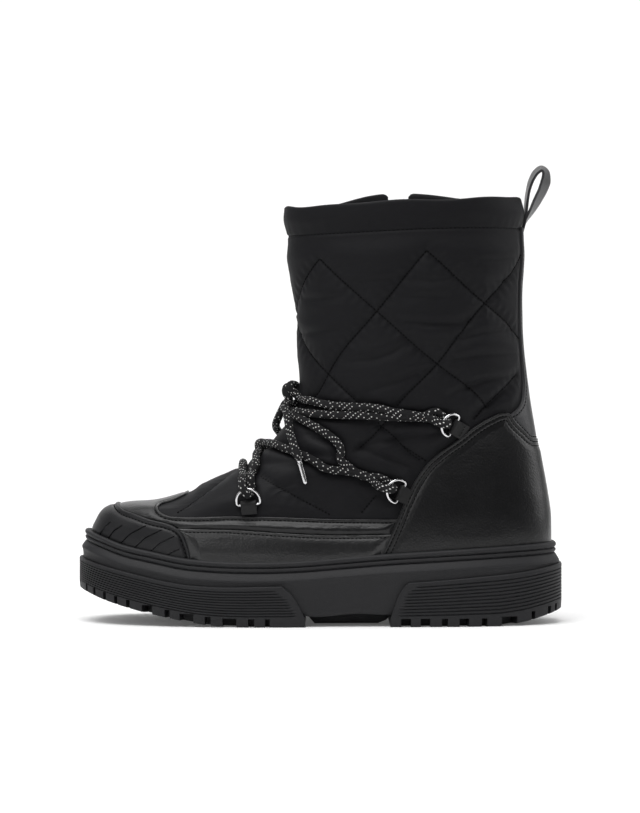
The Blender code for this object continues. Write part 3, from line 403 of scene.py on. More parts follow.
# Outsole: two pieces of harder black rubber moulded round the forefoot and the heel, with fine ribs on
# their side panels and notched lugs below. Each is cemented in a step of the midsole.
FLOOR_RISE = ((-145, 8.5), (-134, 5.4), (-122, 2.4), (-106, 0.0), (0, 0.0), (42, 0.0), (70, 1.7),
              (90, 5.2), (112, 10.0), (132, 15.6), (145, 20.5))
PANEL_TOP = ((-145, 36.0), (-123, 32.1), (-91, 29.0), (-55, 26.2), (-10, 24.6), (24, 24.1), (67, 23.9),
             (81, 25.0), (90, 26.4), (111, 30.7), (132, 35.4), (145, 38.8))
PANEL_COLUMNS = 560
RIB_DEPTH = 0.75
RIB_MARGIN = 5.0
RIB_FADE = (RIB_MARGIN - 1.0, RIB_MARGIN + 0.5)
# Inset and share of the panel's height at its foot and rim, and across one rib groove in steps of its pitch
PANEL_FOOT = ((1.2, 0.0), (0.35, 0.02), (0.1, 0.16))
PANEL_RIM = ((0.0, 0.955), (0.12, 0.98), (0.5, 0.995), (0.9, 1.0))
RIB_GROOVE = ((0.0, -0.24), (RIB_DEPTH, -0.08), (RIB_DEPTH, 0.08), (0.0, 0.24))
PanelRibs = namedtuple("PanelRibs", "count first last")
FOREFOOT_END = ((24.5, 60.0), (23.5, 24.6), (20.8, 22.9), (17.6, 20.2), (14.4, 16.0), (11.0, 9.6), (8.8, 5.0),
                (8.4, -10.0), (160.0, -10.0), (160.0, 60.0))
HEEL_END = ((-54.5, 60.0), (-54.0, 26.8), (-51.0, 25.0), (-48.2, 22.2), (-45.6, 17.0), (-43.2, 10.0),
            (-41.5, 5.0), (-41.2, -10.0), (-160.0, -10.0), (-160.0, 60.0))
LUG_HEIGHT = 4.9
LUG_REACH = 8.0
WIDE_GAP = 5.0
WIDE_GAP_REACH = 11.0
END_GAP_REACH = 7.0
END_GAP_WIDTH = 2.4
FOREFOOT_GAPS = ((134.4, 2.2), (128.0, 2.2), (121.0, 2.2), (113.6, 2.4), (102.0, 6.6), (90.0, 3.2),
                 (78.5, 8.4), (66.0, 3.6), (53.2, 8.2), (40.5, 3.6), (31.0, 2.8))
HEEL_GAPS = ((-50.5, 5.8), (-62.0, 5.6), (-73.5, 3.6), (-85.0, 5.8), (-97.0, 3.4), (-112.0, 9.8),
             (-126.4, 2.6), (-136.4, 2.6))
TOE_GAP_TURNS = (0.0, 0.036, 0.07, 0.93, 0.964)
HEEL_GAP_TURNS = (0.436, 0.478, 0.522, 0.564)
TREAD_GROOVE = 2.6
TREAD_DEPTH = 3.4
TREAD_INSET = 5.0
NOTCH_BELOW = 8.0
TREAD_BELOW = 20.0
END_CUT_REACH = 90.0
FINE_COLUMNS = 7200
# Form that hollows the outsole: clearance round the midsole, then inset and depth below the sole's top
ROOM_COLUMNS = 160
ROOM_CLEARANCE = 0.2
ROOM_TOP = ((2.2, 13.4), (1.3, 11.4), (4.0, 2.0))
RUBBER = moulded_finish("sole_rubber", (0.0095, 0.0095, 0.0108, 1.0), (0.014, 0.014, 0.0156, 1.0), 0.46, 0.66,
                        2200.0, 0.00008)


def floor_rise(x):
    """Height of the tread over the floor."""
    return np.maximum(along(FLOOR_RISE, x), 0.0)


def inside_distance(outline, points):
    """Signed distance of points from a closed outline of the side view, positive inside."""
    across = points[..., 0]
    up = points[..., 2]
    best = np.full(np.shape(across), np.inf)
    inside = np.zeros(np.shape(across), bool)
    for (first_x, first_z), (last_x, last_z) in zip(outline, list(outline[1:]) + [outline[0]]):
        run_x = last_x - first_x
        run_z = last_z - first_z
        share = ((across - first_x) * run_x + (up - first_z) * run_z) / (run_x ** 2 + run_z ** 2)
        share = np.clip(share, 0.0, 1.0)
        best = np.minimum(best, np.hypot(across - first_x - share * run_x, up - first_z - share * run_z))
        crosses = (first_z > up) != (last_z > up)
        meet = first_x + (up - first_z) * (run_x / run_z if run_z else 0.0)
        inside ^= crosses & (across < meet)
    return np.where(inside, best, -best)


def boxes_cutter(name, places):
    """One mesh of boxes given as (frame, size in millimetres)."""
    made = bmesh.new()
    for frame_of_box, size in places:
        box = bmesh.ops.create_cube(made, size=1.0)["verts"]
        bmesh.ops.scale(made, vec=Vector(size) * MM, verts=box)
        bmesh.ops.transform(made, matrix=frame_of_box, verts=box)
    return new_object(name, made)


def prism_cutter(name, outline, reach):
    """Prism of a side-view outline in millimetres, across the boot."""
    made = bmesh.new()
    corners = [made.verts.new((x * MM, -reach * MM, z * MM)) for x, z in outline]
    face = made.faces.new(corners)
    grown = bmesh.ops.extrude_face_region(made, geom=[face])["geom"]
    moved = [item for item in grown if isinstance(item, bmesh.types.BMVert)]
    bmesh.ops.translate(made, vec=(0.0, 2.0 * reach * MM, 0.0), verts=moved)
    bmesh.ops.recalc_face_normals(made, faces=made.faces)
    return new_object(name, made)


def carve(made, steps):
    """A bmesh after Boolean steps of (cutter, operation); the cutters are removed."""
    holder = new_object("carved", made)
    for cutter, operation in steps:
        step = holder.modifiers.new(operation, "BOOLEAN")
        step.operation = operation
        step.object = cutter
    bpy.context.view_layer.update()
    done = holder.evaluated_get(bpy.context.evaluated_depsgraph_get()).to_mesh()
    result = bmesh.new()
    result.from_mesh(done)
    for cutter, _ in steps:
        bpy.data.objects.remove(cutter)
    bpy.data.objects.remove(holder)
    return result


def outline_turn(x, lateral):
    """Turn of the sole's outline at a place along its length."""
    low, high = (0.0, 0.5) if lateral else (1.0, 0.5)
    for _ in range(40):
        middle = (low + high) / 2.0
        if plan(SOLE, np.array([middle]))[0][0] > x:
            low = middle
        else:
            high = middle
    return low


def outline_point(turn, inset):
    """Point of the sole's outline over the floor, moved in by inset."""
    column = round((turn % 1.0) * FINE_COLUMNS) % FINE_COLUMNS
    return outline_fine[column] + outline_inward[column] * inset


outline_fine = sole_ring(0.0, floor_rise, FINE_COLUMNS)
outline_inward = sole_ring(1.0, floor_rise, FINE_COLUMNS) - outline_fine
outline_inward[:, 2] = 0.0


def panel_solid(ribs, end, columns):
    """Sole form below the panels' top edge, with rib grooves that fade out near the panel's end."""

    def row(inset, share, groove=False):
        def rise(x):
            return floor_rise(x) + (along(PANEL_TOP, x) - floor_rise(x)) * share

        plain = sole_ring(0.0, rise, columns)
        ring = sole_ring(inset, floor_rise, columns)
        ring[:, 2] = plain[:, 2]
        if groove:
            cut = fade(*RIB_FADE, inside_distance(end, plain))
            ring = plain + (ring - plain) * cut[:, None]
        return ring

    pitch = (ribs.last - ribs.first) / (ribs.count - 1)
    rows = [row(inset, share) for inset, share in PANEL_FOOT]
    for groove in range(ribs.count):
        middle = ribs.first + groove * pitch
        rows += [row(inset, middle + pitch * step, inset > 0.0) for inset, step in RIB_GROOVE]
    rows += [row(inset, share) for inset, share in PANEL_RIM]
    made = grid_form(np.array(rows), wrap=True)
    fill_ends(made, columns)
    return made


def midsole_room():
    """Form of the midsole with a little clearance, to hollow the outsole."""
    rows = []
    for step in (0.0, BELLY_EDGE):
        inset = BELLY_INSET + BELLY_EDGE - step - ROOM_CLEARANCE
        rows.append(sole_ring(inset, lambda x: belly(x) + step - ROOM_CLEARANCE, ROOM_COLUMNS))
    for inset, drop in ROOM_TOP:
        rows.append(sole_ring(inset, lambda x: along(SOLE_TOP, x) - drop, ROOM_COLUMNS))
    made = grid_form(np.array(rows), wrap=True)
    fill_ends(made, ROOM_COLUMNS)
    return new_object("midsole_room", made)


def upright_box(turn, width, depth):
    """Frame and size of the box that parts two lugs."""
    edge = outline_point(turn, 0.0)
    inner = outline_point(turn, depth)
    roof = edge[2] + LUG_HEIGHT
    angle = math.atan2(inner[1] - edge[1], inner[0] - edge[0])
    place = Matrix.Translation(Vector((edge[0], edge[1], (roof - NOTCH_BELOW) / 2.0)) * MM)
    return place @ Matrix.Rotation(angle, 4, "Z"), (2.0 * depth, width, roof + NOTCH_BELOW)


def tread_box(start, stop, width):
    """Frame and size of a groove across the tread between two plan points."""
    middle = (start + stop) / 2.0
    run = stop - start
    roof = float(floor_rise(np.array([middle[0]]))[0]) + TREAD_DEPTH
    angle = math.atan2(run[1], run[0])
    place = Matrix.Translation(Vector((middle[0], middle[1], (roof - TREAD_BELOW) / 2.0)) * MM)
    return place @ Matrix.Rotation(angle, 4, "Z"), (np.hypot(*run) + width, width, roof + TREAD_BELOW)


for piece, ribs, end, gaps, end_turns, bend in (
    ("outsole_forefoot", PanelRibs(10, 0.27, 0.88), FOREFOOT_END, FOREFOOT_GAPS, TOE_GAP_TURNS, 7.0),
    ("outsole_heel", PanelRibs(10, 0.26, 0.89), HEEL_END, HEEL_GAPS, HEEL_GAP_TURNS, -5.0),
):
    notches = [upright_box(turn, END_GAP_WIDTH, END_GAP_REACH) for turn in end_turns]
    outer_grooves = []
    inner_grooves = []
    for x, width in gaps:
        depth = LUG_REACH if width < WIDE_GAP else WIDE_GAP_REACH
        sides = [outline_turn(x, lateral) for lateral in (True, False)]
        notches += [upright_box(turn, width, depth) for turn in sides]
        if width >= WIDE_GAP:
            ends = [outline_point(turn, depth + TREAD_INSET)[:2] for turn in sides]
            middle = (ends[0] + ends[1]) / 2.0 + np.array([bend, 0.0])
            outer_grooves.append(tread_box(ends[0], middle, TREAD_GROOVE))
            inner_grooves.append(tread_box(middle, ends[1], TREAD_GROOVE))
    outsole = carve(
        panel_solid(ribs, end, PANEL_COLUMNS),
        [
            (prism_cutter(piece + "_end", end, END_CUT_REACH), "INTERSECT"),
            (midsole_room(), "DIFFERENCE"),
            (boxes_cutter(piece + "_notches", notches), "DIFFERENCE"),
            (boxes_cutter(piece + "_outer_grooves", outer_grooves), "DIFFERENCE"),
            (boxes_cutter(piece + "_inner_grooves", inner_grooves), "DIFFERENCE"),
        ],
    )
    add_piece(piece + "_rubber", outsole, RUBBER, [piece], sharp=32.0)

# Upper: black nylon quilted over thin padding in large lozenges, cemented to the sole and slit on its inner
# side for the zip. A plain hem band is sewn round the collar and folds over to the inside. The lacing is laid
# out here as well, because the padding gives way under it.
UPPER_SECTIONS = (
    Section(36.0, 135.0, 51.8, 58.0, -136.6, 45.4, 44.2, 43.2, 2.35, 3.0, 1.00),
    Section(50.0, 134.0, 58.0, 57.0, -136.8, 56.0, 44.8, 43.8, 2.35, 3.0, 1.00),
    Section(58.0, 128.3, 66.2, 53.0, -136.4, 65.0, 44.4, 43.4, 2.30, 2.9, 0.95),
    Section(65.0, 117.0, 70.0, 46.0, -135.2, 74.5, 43.2, 42.4, 2.20, 2.8, 0.90),
    Section(71.5, 98.5, 71.6, 36.0, -133.6, 84.0, 41.8, 41.2, 2.15, 2.7, 0.80),
    Section(78.5, 79.0, 77.2, 24.0, -132.0, 93.0, 40.4, 40.0, 2.10, 2.6, 0.65),
    Section(86.0, 61.5, 84.4, 10.0, -130.3, 102.0, 39.4, 39.0, 2.05, 2.5, 0.50),
    Section(95.0, 44.0, 93.2, -6.0, -128.2, 112.0, 38.6, 38.4, 2.05, 2.4, 0.35),
    Section(106.0, 29.5, 104.8, -22.0, -126.2, 123.0, 38.2, 38.2, 2.05, 2.3, 0.20),
    Section(119.5, 19.2, 118.2, -36.0, -124.2, 135.0, 38.6, 38.6, 2.10, 2.2, 0.08),
    Section(133.0, 12.4, 129.6, -45.0, -122.6, 147.5, 39.4, 39.4, 2.10, 2.2, 0.0),
    Section(147.5, 10.2, 143.0, -50.0, -121.2, 160.0, 40.4, 40.4, 2.15, 2.2, 0.0),
    Section(166.5, 12.0, 162.5, -52.0, -120.0, 176.0, 42.0, 42.0, 2.15, 2.2, 0.0),
    Section(196.0, 14.2, 193.0, -52.0, -119.9, 200.0, 44.2, 44.2, 2.15, 2.2, 0.0),
    Section(220.0, 17.8, 217.5, -51.0, -121.0, 221.0, 45.8, 45.8, 2.15, 2.2, 0.0),
    Section(233.5, 19.6, 230.8, -50.5, -120.6, 235.0, 45.4, 45.4, 2.15, 2.2, 0.0),
    Section(244.0, 22.0, 241.0, -50.5, -122.6, 245.5, 46.8, 46.8, 2.15, 2.2, 0.0),
    Section(251.0, 19.6, 248.4, -50.0, -118.4, 254.5, 45.0, 45.0, 2.15, 2.2, 0.0),
)
LEVELS = np.array([section.level for section in UPPER_SECTIONS])
LOW_LEVEL = LEVELS[0]
COLLAR_LEVEL = LEVELS[-1]
RISE_BEND = 1.5
ZIP_X = -48.0
ZIP_SLOT_WIDTH = 12.4
ZIP_FOOT_Z = 86.0
COLLAR_RISE = 10.0
COLLAR_RISE_LENGTH = 36.0
COLLAR_RISE_FROM = 238.0
COLLAR_RISE_SPAN = 13.0
OUTER_COLUMNS = 290
INNER_COLUMNS = 116
HEM_LEVEL = 233.5
COLLAR_ROLL = 1.7
COLLAR_FLARE = 2.0
RIM_LEVEL = COLLAR_LEVEL - COLLAR_ROLL
CORNER_ROUND = 3.4
PUFF = 2.2
PUFF_REACH = 7.0
SEAM_DEPTH = 0.85
GUARD_EDGE = ((75.7, 30.0), (76.6, 44.0), (78.3, 49.3), (80.6, 54.4), (84.5, 57.9), (90.4, 60.1),
              (99.6, 61.9), (108.8, 64.4), (117.6, 67.0), (121.0, 69.5), (123.0, 80.0))
BAND_LINE = ((92.0, 57.6), (81.0, 57.4), (51.8, 57.1), (21.2, 55.2), (-5.9, 54.0), (-36.0, 54.2),
             (-60.0, 54.8))
VAMP_EDGE = ((-66.0, 63.0), (-46.5, 63.0), (-5.9, 63.3), (21.2, 64.3), (51.9, 64.8), (82.6, 63.8),
             (88.5, 64.1), (92.7, 65.3), (95.4, 67.2), (96.2, 68.9), (94.6, 70.4), (90.3, 71.8), (84.0, 74.2),
             (79.0, 77.0), (77.0, 84.0))
COUNTER_EDGE = ((-31.0, 30.0), (-36.9, 43.4), (-44.3, 60.0), (-50.6, 74.8), (-57.0, 87.2), (-63.2, 95.7),
                (-71.7, 103.1), (-82.1, 110.4), (-91.8, 117.9), (-101.3, 123.2), (-107.5, 125.6),
                (-111.7, 125.2), (-115.0, 120.5), (-121.4, 113.8), (-125.0, 110.4), (-130.0, 109.4),
                (-150.0, 109.4))
STRIP_HALF_WIDTH = ((90.0, 33.0), (100.0, 30.0), (124.0, 24.0), (130.0, 18.0), (140.0, 13.5), (160.0, 12.0),
                    (200.0, 12.5), (236.0, 11.0), (260.0, 11.0))
STRIP_FRONT_X = -85.0
# Corners beyond the boot that close the outlines of the layers
GUARD_CORNERS = [(160.0, 80.0), (160.0, 30.0)]
BAND_CORNERS = [(77.0, 95.0), (130.0, 95.0), (130.0, 30.0), (-66.0, 30.0)]
LOWER_CORNERS = [(-60.0, 30.0), (92.0, 30.0)]
COUNTER_CORNERS = [(-150.0, 30.0)]
OUTLINE_STEP = 1.5
LEVEL_STEP = 0.5
SEARCH_TURNS = np.linspace(0.02, 0.48, 47)
SEARCH_LEVELS = np.linspace(LOW_LEVEL, COLLAR_LEVEL, 54)
SEARCH_ROUNDS = 6
# Padding: heights and reaches of its puckers, seams, pressed places and hem
PUFF_BEND = 1.25
PUCKER_HEIGHT = 0.2
PUCKER_WAVE = 1.15
PUCKER_REACH = 3.0
SEAM_HALF_WIDTH = 1.1
# Crumples of the nylon: (height, scale across, scale up, shift along x, shift along y)
CRUMPLES = ((0.24, 0.045, 0.07, 0.0, 0.0), (0.10, 0.11, 0.26, 7.0, 0.0), (0.03, 0.30, 0.62, 0.0, 3.0))
COVER_FADE = (0.5, 8.0)
LACE_PRESS_REACH = 4.2
RING_PRESS_REACH = 6.0
PRESS_DEPTH = 0.25
SLOT_PRESS = 0.8
SLOT_PRESS_REACH = 5.0
SLOT_PRESS_BELOW = 8.0
SLOT_EDGE_WIDTH = 2.2
SLOT_EDGE_DROP = 1.3
HEM_DIP = 0.5
HEM_RIPPLE = 0.06
HEM_RIPPLES = 47.0
HEM_FADE = 15.0
HEM_SEAM = 0.85


def deck(x):
    """Height of the face inside the sole's rim."""
    return along(SOLE_TOP, x) - RIM_HEIGHT


def section_line(section, turn):
    """Points of one section of the foot form."""
    x, y, reach = plan(section, turn)
    side_lift, front_lift, back_lift = np.array([section.level, section.front_z, section.back_z]) - deck(
        [section.side_x, section.front_x, section.back_x]
    )
    end_lift = np.where(reach >= 0.0, front_lift, back_lift)
    lift = side_lift + (end_lift - side_lift) * np.abs(reach) ** RISE_BEND
    if section.level == LOW_LEVEL:
        lift = np.full(len(turn), GAP)
    raised = min(max((section.level - COLLAR_RISE_FROM) / COLLAR_RISE_SPAN, 0.0), 1.0)
    hump = raised * COLLAR_RISE * np.exp(-((x - ZIP_X) / COLLAR_RISE_LENGTH) ** 2)
    return np.stack([x, y - CENTRE_Y, deck(x) + lift + np.where(y < 0.0, hump, 0.0)], axis=-1)


def form(turn, level):
    """Points of the upper's plain outer face, in millimetres."""
    turn = np.ravel(turn).astype(float)
    lines = np.stack([section_line(section, turn) for section in UPPER_SECTIONS], axis=1)
    return np.einsum("ns,nsk->nk", curve_weights(LEVELS, level), lines)


def unit(vectors):
    """Vectors scaled to a length of one."""
    return vectors / np.linalg.norm(vectors, axis=-1, keepdims=True)


def outward(turn, level):
    """Unit normals of the upper's outer face."""
    turn = np.ravel(turn).astype(float)
    level = np.ravel(level).astype(float)
    around = form(turn + TURN_STEP, level) - form(turn - TURN_STEP, level)
    above = np.minimum(level + LEVEL_STEP, COLLAR_LEVEL)
    below = np.maximum(level - LEVEL_STEP, LOW_LEVEL)
    return unit(np.cross(around, form(turn, above) - form(turn, below)))


def skin(turn, level, offset):
    """Points at a distance outside the upper's plain face."""
    return form(turn, level) + outward(turn, level) * np.reshape(offset, (-1, 1))


def find_places(places, lateral=True):
    """Turns and levels of the form at places (x, z) of the side view."""
    x, z = np.array(places, float).T
    turns, rungs = np.meshgrid(SEARCH_TURNS, SEARCH_LEVELS)
    turns = turns.ravel() if lateral else 1.0 - turns.ravel()
    known = form(turns, rungs)
    best = ((known[:, 0] - x[:, None]) ** 2 + (known[:, 2] - z[:, None]) ** 2).argmin(axis=1)
    turn = turns[best]
    level = rungs.ravel()[best]
    for _ in range(SEARCH_ROUNDS):
        point = form(turn, level)
        by_turn = (form(turn + 0.001, level) - point) * 1000.0
        by_level = (point - form(turn, level - 0.2)) * 5.0
        area = by_turn[:, 0] * by_level[:, 2] - by_turn[:, 2] * by_level[:, 0]
        miss_x = x - point[:, 0]
        miss_z = z - point[:, 2]
        turn = turn + (miss_x * by_level[:, 2] - miss_z * by_level[:, 0]) / area
        level = level + (by_turn[:, 0] * miss_z - by_turn[:, 2] * miss_x) / area
        level = np.clip(level, LOW_LEVEL + 0.3, COLLAR_LEVEL)
    if not lateral:
        turn = turn - 1.0
    return np.stack([turn, level], axis=-1)


def run_lengths(points):
    """Length of a line of points from its start to each of them."""
    return np.concatenate([[0.0], np.cumsum(np.linalg.norm(np.diff(points, axis=0), axis=1))])


def smooth_path(points, step, corners=None):
    """Points at even steps on a smooth curve through a route, measured between its corners if given."""
    points = np.array(points, float)
    knots = run_lengths(points if corners is None else corners)
    count = max(3, round(knots[-1] / step))
    return curve_weights(knots, np.linspace(0.0, knots[-1], count + 1)) @ points


def skin_path(places, step):
    """Turns and levels at even steps of length on the form along a smooth route."""
    return smooth_path(places, step, form(*np.array(places, float).T))


# Rings: middle of the bar in the side view, the way the bow points, and the length of the tab's tail
RingPlace = namedtuple("RingPlace", "name lateral bar_x bar_z bow_x bow_z tail")
RING_PLACES = (
    RingPlace("lateral_1", True, 41.8, 71.2, 0.10, 1.0, 5.6),
    RingPlace("lateral_2", True, -47.6, 78.0, 0.88, 0.47, 5.4),
    RingPlace("lateral_3", True, -78.6, 117.6, 0.87, 0.49, 9.0),
    RingPlace("medial_1", False, 41.8, 71.2, 0.10, 1.0, 5.6),
    RingPlace("medial_2", False, -30.0, 80.0, 0.88, 0.47, 4.2),
    RingPlace("medial_3", False, -33.0, 113.0, 0.87, 0.49, 5.0),
)
RING_WIRE = 0.75
RING_HALF_WIDTH = 6.9
RING_SHOULDER = 2.4
RING_TILT = 24.0
BAR_LIFT = 2.45
LACE_RADIUS = 2.4
LACE_LIFT = 2.9
BAR_RIDGE = (0.0, 94.5)
LOW_RIDGE = (0.0, 101.0)
CROSS_RIDGE = (0.0, 105.5)
TOP_RIDGE = (0.0, 126.0)
RING_REACH = 12.0
ROUTE_STEP = 2.0
RING_PRESSES = (-2.0, 2.0, 6.0, 9.0)


def axes_frame(across, ahead, out, point):
    """Frame of three axes at a point in millimetres."""
    made = Matrix((across, ahead, out)).transposed().to_4x4()
    made.translation = Vector(point) * MM
    return made


def in_frame(spot, across, ahead, out):
    """Point in millimetres at a place of a frame."""
    return np.array((spot @ Vector((across * MM, ahead * MM, out * MM))) / MM)


def ring_frame(place):
    """Frame on the upper at a ring's bar: X along the bar, Y to the bow, Z out."""
    spot = find_places([(place.bar_x, place.bar_z)], place.lateral)
    out = Vector(outward(spot[:, 0], spot[:, 1])[0])
    bow = Vector((place.bow_x, 0.0, place.bow_z))
    bow = (bow - out * bow.dot(out)).normalized()
    return axes_frame(bow.cross(out), bow, out, form(spot[:, 0], spot[:, 1])[0])


def beside_ring(name):
    """Turn and level on the upper where the lace leaves a ring."""
    x, _, z = in_frame(ring_frames[name], 0.0, RING_REACH, 0.0)
    return find_places([(x, z)], name.startswith("lateral"))[0]


def on_side(x, z, lateral=True):
    """Turn and level at a place of the side view."""
    return find_places([(x, z)], lateral)[0]


ring_frames = {place.name: ring_frame(place) for place in RING_PLACES}
lace_routes = {
    "bar": [beside_ring("lateral_1"), on_side(44.6, 88.0), BAR_RIDGE, on_side(44.6, 88.0, False),
            beside_ring("medial_1")],
    "low_out": [beside_ring("lateral_1"), on_side(37.0, 91.5), LOW_RIDGE, on_side(12.0, 99.0, False),
                beside_ring("medial_2")],
    "low_in": [beside_ring("medial_1"), on_side(37.0, 91.5, False), CROSS_RIDGE, on_side(12.7, 100.6),
               on_side(-17.9, 91.0), beside_ring("lateral_2")],
    "high_out": [beside_ring("lateral_2"), on_side(-11.8, 106.0), on_side(8.0, 120.0), TOP_RIDGE,
                 on_side(4.0, 122.5, False), beside_ring("medial_3")],
    "high_in": [beside_ring("medial_2"), on_side(2.0, 112.0, False), TOP_RIDGE, on_side(-5.9, 124.0),
                on_side(-35.5, 124.0), beside_ring("lateral_3")],
    "top_lateral": [beside_ring("lateral_3"), on_side(-35.5, 128.4), on_side(-5.9, 130.0),
                    on_side(5.5, 133.0)],
    "top_medial": [beside_ring("medial_3"), on_side(-5.9, 128.0, False), on_side(5.5, 132.0, False)],
}
for name, route in lace_routes.items():
    lace_routes[name] = skin_path(route, ROUTE_STEP)

# Quilting: lines of stitching as (length round the shaft from its front, level), the same on both sides
QUILT_LINES = (
    ((36.0, 219.0), (68.6, 186.6), (105.2, 152.5), (133.3, 125.2), (138.0, 118.5)),
    ((98.9, 220.8), (134.4, 186.8), (160.0, 164.0), (176.0, 150.0)),
    ((0.0, 185.5), (35.4, 152.0), (60.0, 134.0), (89.1, 117.5), (118.8, 90.6)),
    ((36.0, 219.0), (0.0, 185.5)),
    ((98.9, 220.8), (68.6, 186.6), (35.4, 152.0), (26.8, 140.0), (0.0, 122.0)),
    ((167.5, 219.0), (134.4, 186.8), (105.2, 152.5), (90.0, 131.7), (89.1, 117.5), (89.7, 104.7)),
    ((167.5, 219.0), (176.0, 211.0)),
)
FOOT_QUILT_LINES = (
    ((35.4, 88.2), (15.0, 77.0), (-5.3, 66.1)),
    ((-24.2, 66.7), (-33.3, 77.3)),
    ((-47.2, 107.4), (-62.3, 97.4)),
    ((84.6, 66.3), (56.0, 86.1)),
    ((-117.0, 147.5), (-99.1, 129.8), (-91.5, 122.2)),
)
QUILT_STEP = 1.0
QUILT_CORNER_STEP = 3.0
SHAFT_LEVEL = 185.0
SHAFT_POINTS = 400
# Folds of the nylon in the side view: (line, depth, half width)
FOLDS = (
    (((-54.4, 205.0), (-65.3, 203.4), (-79.5, 205.0)), 0.5, 2.6),
    (((-46.8, 194.1), (-61.0, 194.1), (-77.3, 193.5)), 0.5, 2.4),
    (((-44.0, 180.6), (-64.2, 178.3), (-80.6, 178.3), (-92.0, 180.6)), 0.95, 2.6),
    (((-79.0, 168.0), (-95.8, 172.8), (-116.3, 174.2)), 0.7, 2.6),
    (((11.8, 193.5), (-3.2, 193.0), (-16.1, 194.9)), 0.6, 2.6),
    (((12.0, 172.4), (-3.2, 173.9), (-19.4, 176.5)), 0.65, 2.6),
    (((-14.4, 156.0), (-31.5, 157.6), (-42.4, 161.4), (-54.2, 168.9)), 0.8, 2.8),
    (((-27.5, 138.6), (-49.0, 145.6), (-68.2, 153.3)), 0.8, 2.8),
    (((-71.1, 155.5), (-90.4, 159.2), (-118.4, 160.5)), 0.75, 2.6),
    (((-73.3, 135.2), (-95.8, 144.0), (-118.4, 148.3)), 1.0, 2.8),
    (((-86.3, 119.9), (-101.3, 130.9), (-119.1, 146.3)), 1.0, 3.0),
    (((-90.6, 215.6), (-102.0, 216.0), (-115.2, 217.2)), 0.45, 2.2),
    (((-19.8, 203.6), (-38.1, 204.4), (-52.0, 207.0)), 0.5, 2.4),
    (((-96.1, 203.7), (-106.0, 203.6), (-117.4, 204.6)), 0.45, 2.2),
    (((-20.0, 106.0), (-38.2, 100.1), (-49.9, 94.8), (-61.7, 90.1)), 1.05, 2.6),
    (((-20.5, 104.7), (-35.2, 109.0), (-52.8, 111.9), (-71.5, 114.8)), 1.0, 2.6),
    (((36.4, 94.3), (23.8, 95.0), (10.2, 95.7)), 0.7, 2.2),
    (((8.4, 113.1), (0.0, 111.0), (-9.0, 108.7)), 0.9, 2.2),
    (((8.4, 101.1), (0.0, 100.3), (-9.0, 99.5)), 0.6, 2.0),
    (((30.0, 80.0), (14.0, 84.5), (-6.0, 82.5)), 0.5, 2.4),
    (((60.0, 74.5), (50.0, 79.0), (43.0, 86.0)), 0.45, 2.2),
)
FOLD_SHIFT = (5.0, 4.0)
FOLD_DEPTH = 1.7
FOLD_TAPER = 0.6
# Swells across a fold: (height, place in half widths, spread)
FOLD_PROFILE = ((0.6, 1.9, 1.4), (0.35, -2.0, 1.4), (-0.75, 0.0, 1.0), (-0.35, 0.0, 1.0 / 2.6))
# Waves of the collar's edge: (height, number round the shaft, phase)
RIM_WAVES = ((0.45, 5.0, 1.0), (0.35, 9.0, 0.0))


def line_place(line, points):
    """Signed side-view distance of points from an open line, positive above it, and their share along it."""
    x = points[:, 0]
    z = points[:, 2]
    best = np.full(len(x), np.inf)
    above = np.zeros(len(x))
    place = np.zeros(len(x))
    start = 0.0
    for (first_x, first_z), (last_x, last_z) in zip(line, line[1:]):
        run_x = last_x - first_x
        run_z = last_z - first_z
        length = math.hypot(run_x, run_z)
        share = np.clip(((x - first_x) * run_x + (z - first_z) * run_z) / length ** 2, 0.0, 1.0)
        gap_x = x - first_x - share * run_x
        gap_z = z - first_z - share * run_z
        gap = np.hypot(gap_x, gap_z)
        closer = gap < best
        best = np.where(closer, gap, best)
        above = np.where(closer, np.sign((run_x * gap_z - run_z * gap_x) * run_x), above)
        place = np.where(closer, start + share * length, place)
        start += length
    return best * above, place / start


def fold_height(points, line, depth, width):
    """Soft trough between low ridges along a line of the side view, tapering to both its ends."""
    signed, share = line_place(line, points)
    shape = 0.0
    for height, place, spread in FOLD_PROFILE:
        shape = shape + height * np.exp(-((signed / width - place) / spread) ** 2)
    return FOLD_DEPTH * depth * (4.0 * share * (1.0 - share)) ** FOLD_TAPER * shape


def point_tree(points):
    """Search tree over points in millimetres."""
    tree = kdtree.KDTree(len(points))
    for index, point in enumerate(points):
        tree.insert(point, index)
    tree.balance()
    return tree


shaft_turns = np.linspace(0.0, 0.5, SHAFT_POINTS)
shaft_arc = run_lengths(form(shaft_turns, np.full(SHAFT_POINTS, SHAFT_LEVEL)))
quilt_paths = []
for line in QUILT_LINES:
    corners = np.array(line)
    turns = np.interp(corners[:, 0], shaft_arc, shaft_turns)
    for side in (1.0, -1.0):
        quilt_paths.append(skin_path(np.stack([turns * side, corners[:, 1]], axis=-1), QUILT_STEP))
for line in FOOT_QUILT_LINES:
    for lateral in (True, False):
        quilt_paths.append(skin_path(find_places(smooth_path(line, QUILT_CORNER_STEP), lateral), QUILT_STEP))
quilt_places = np.concatenate(quilt_paths)
quilt_run = np.concatenate([np.arange(len(path)) * QUILT_STEP for path in quilt_paths])
quilt_tree = point_tree(form(quilt_places[:, 0], quilt_places[:, 1]))
lace_places = np.concatenate(list(lace_routes.values()))
lace_tree = point_tree(form(lace_places[:, 0], lace_places[:, 1]))
ring_spots = [in_frame(spot, 0.0, reach, 0.0) for spot in ring_frames.values() for reach in RING_PRESSES]
ring_tree = point_tree(ring_spots)

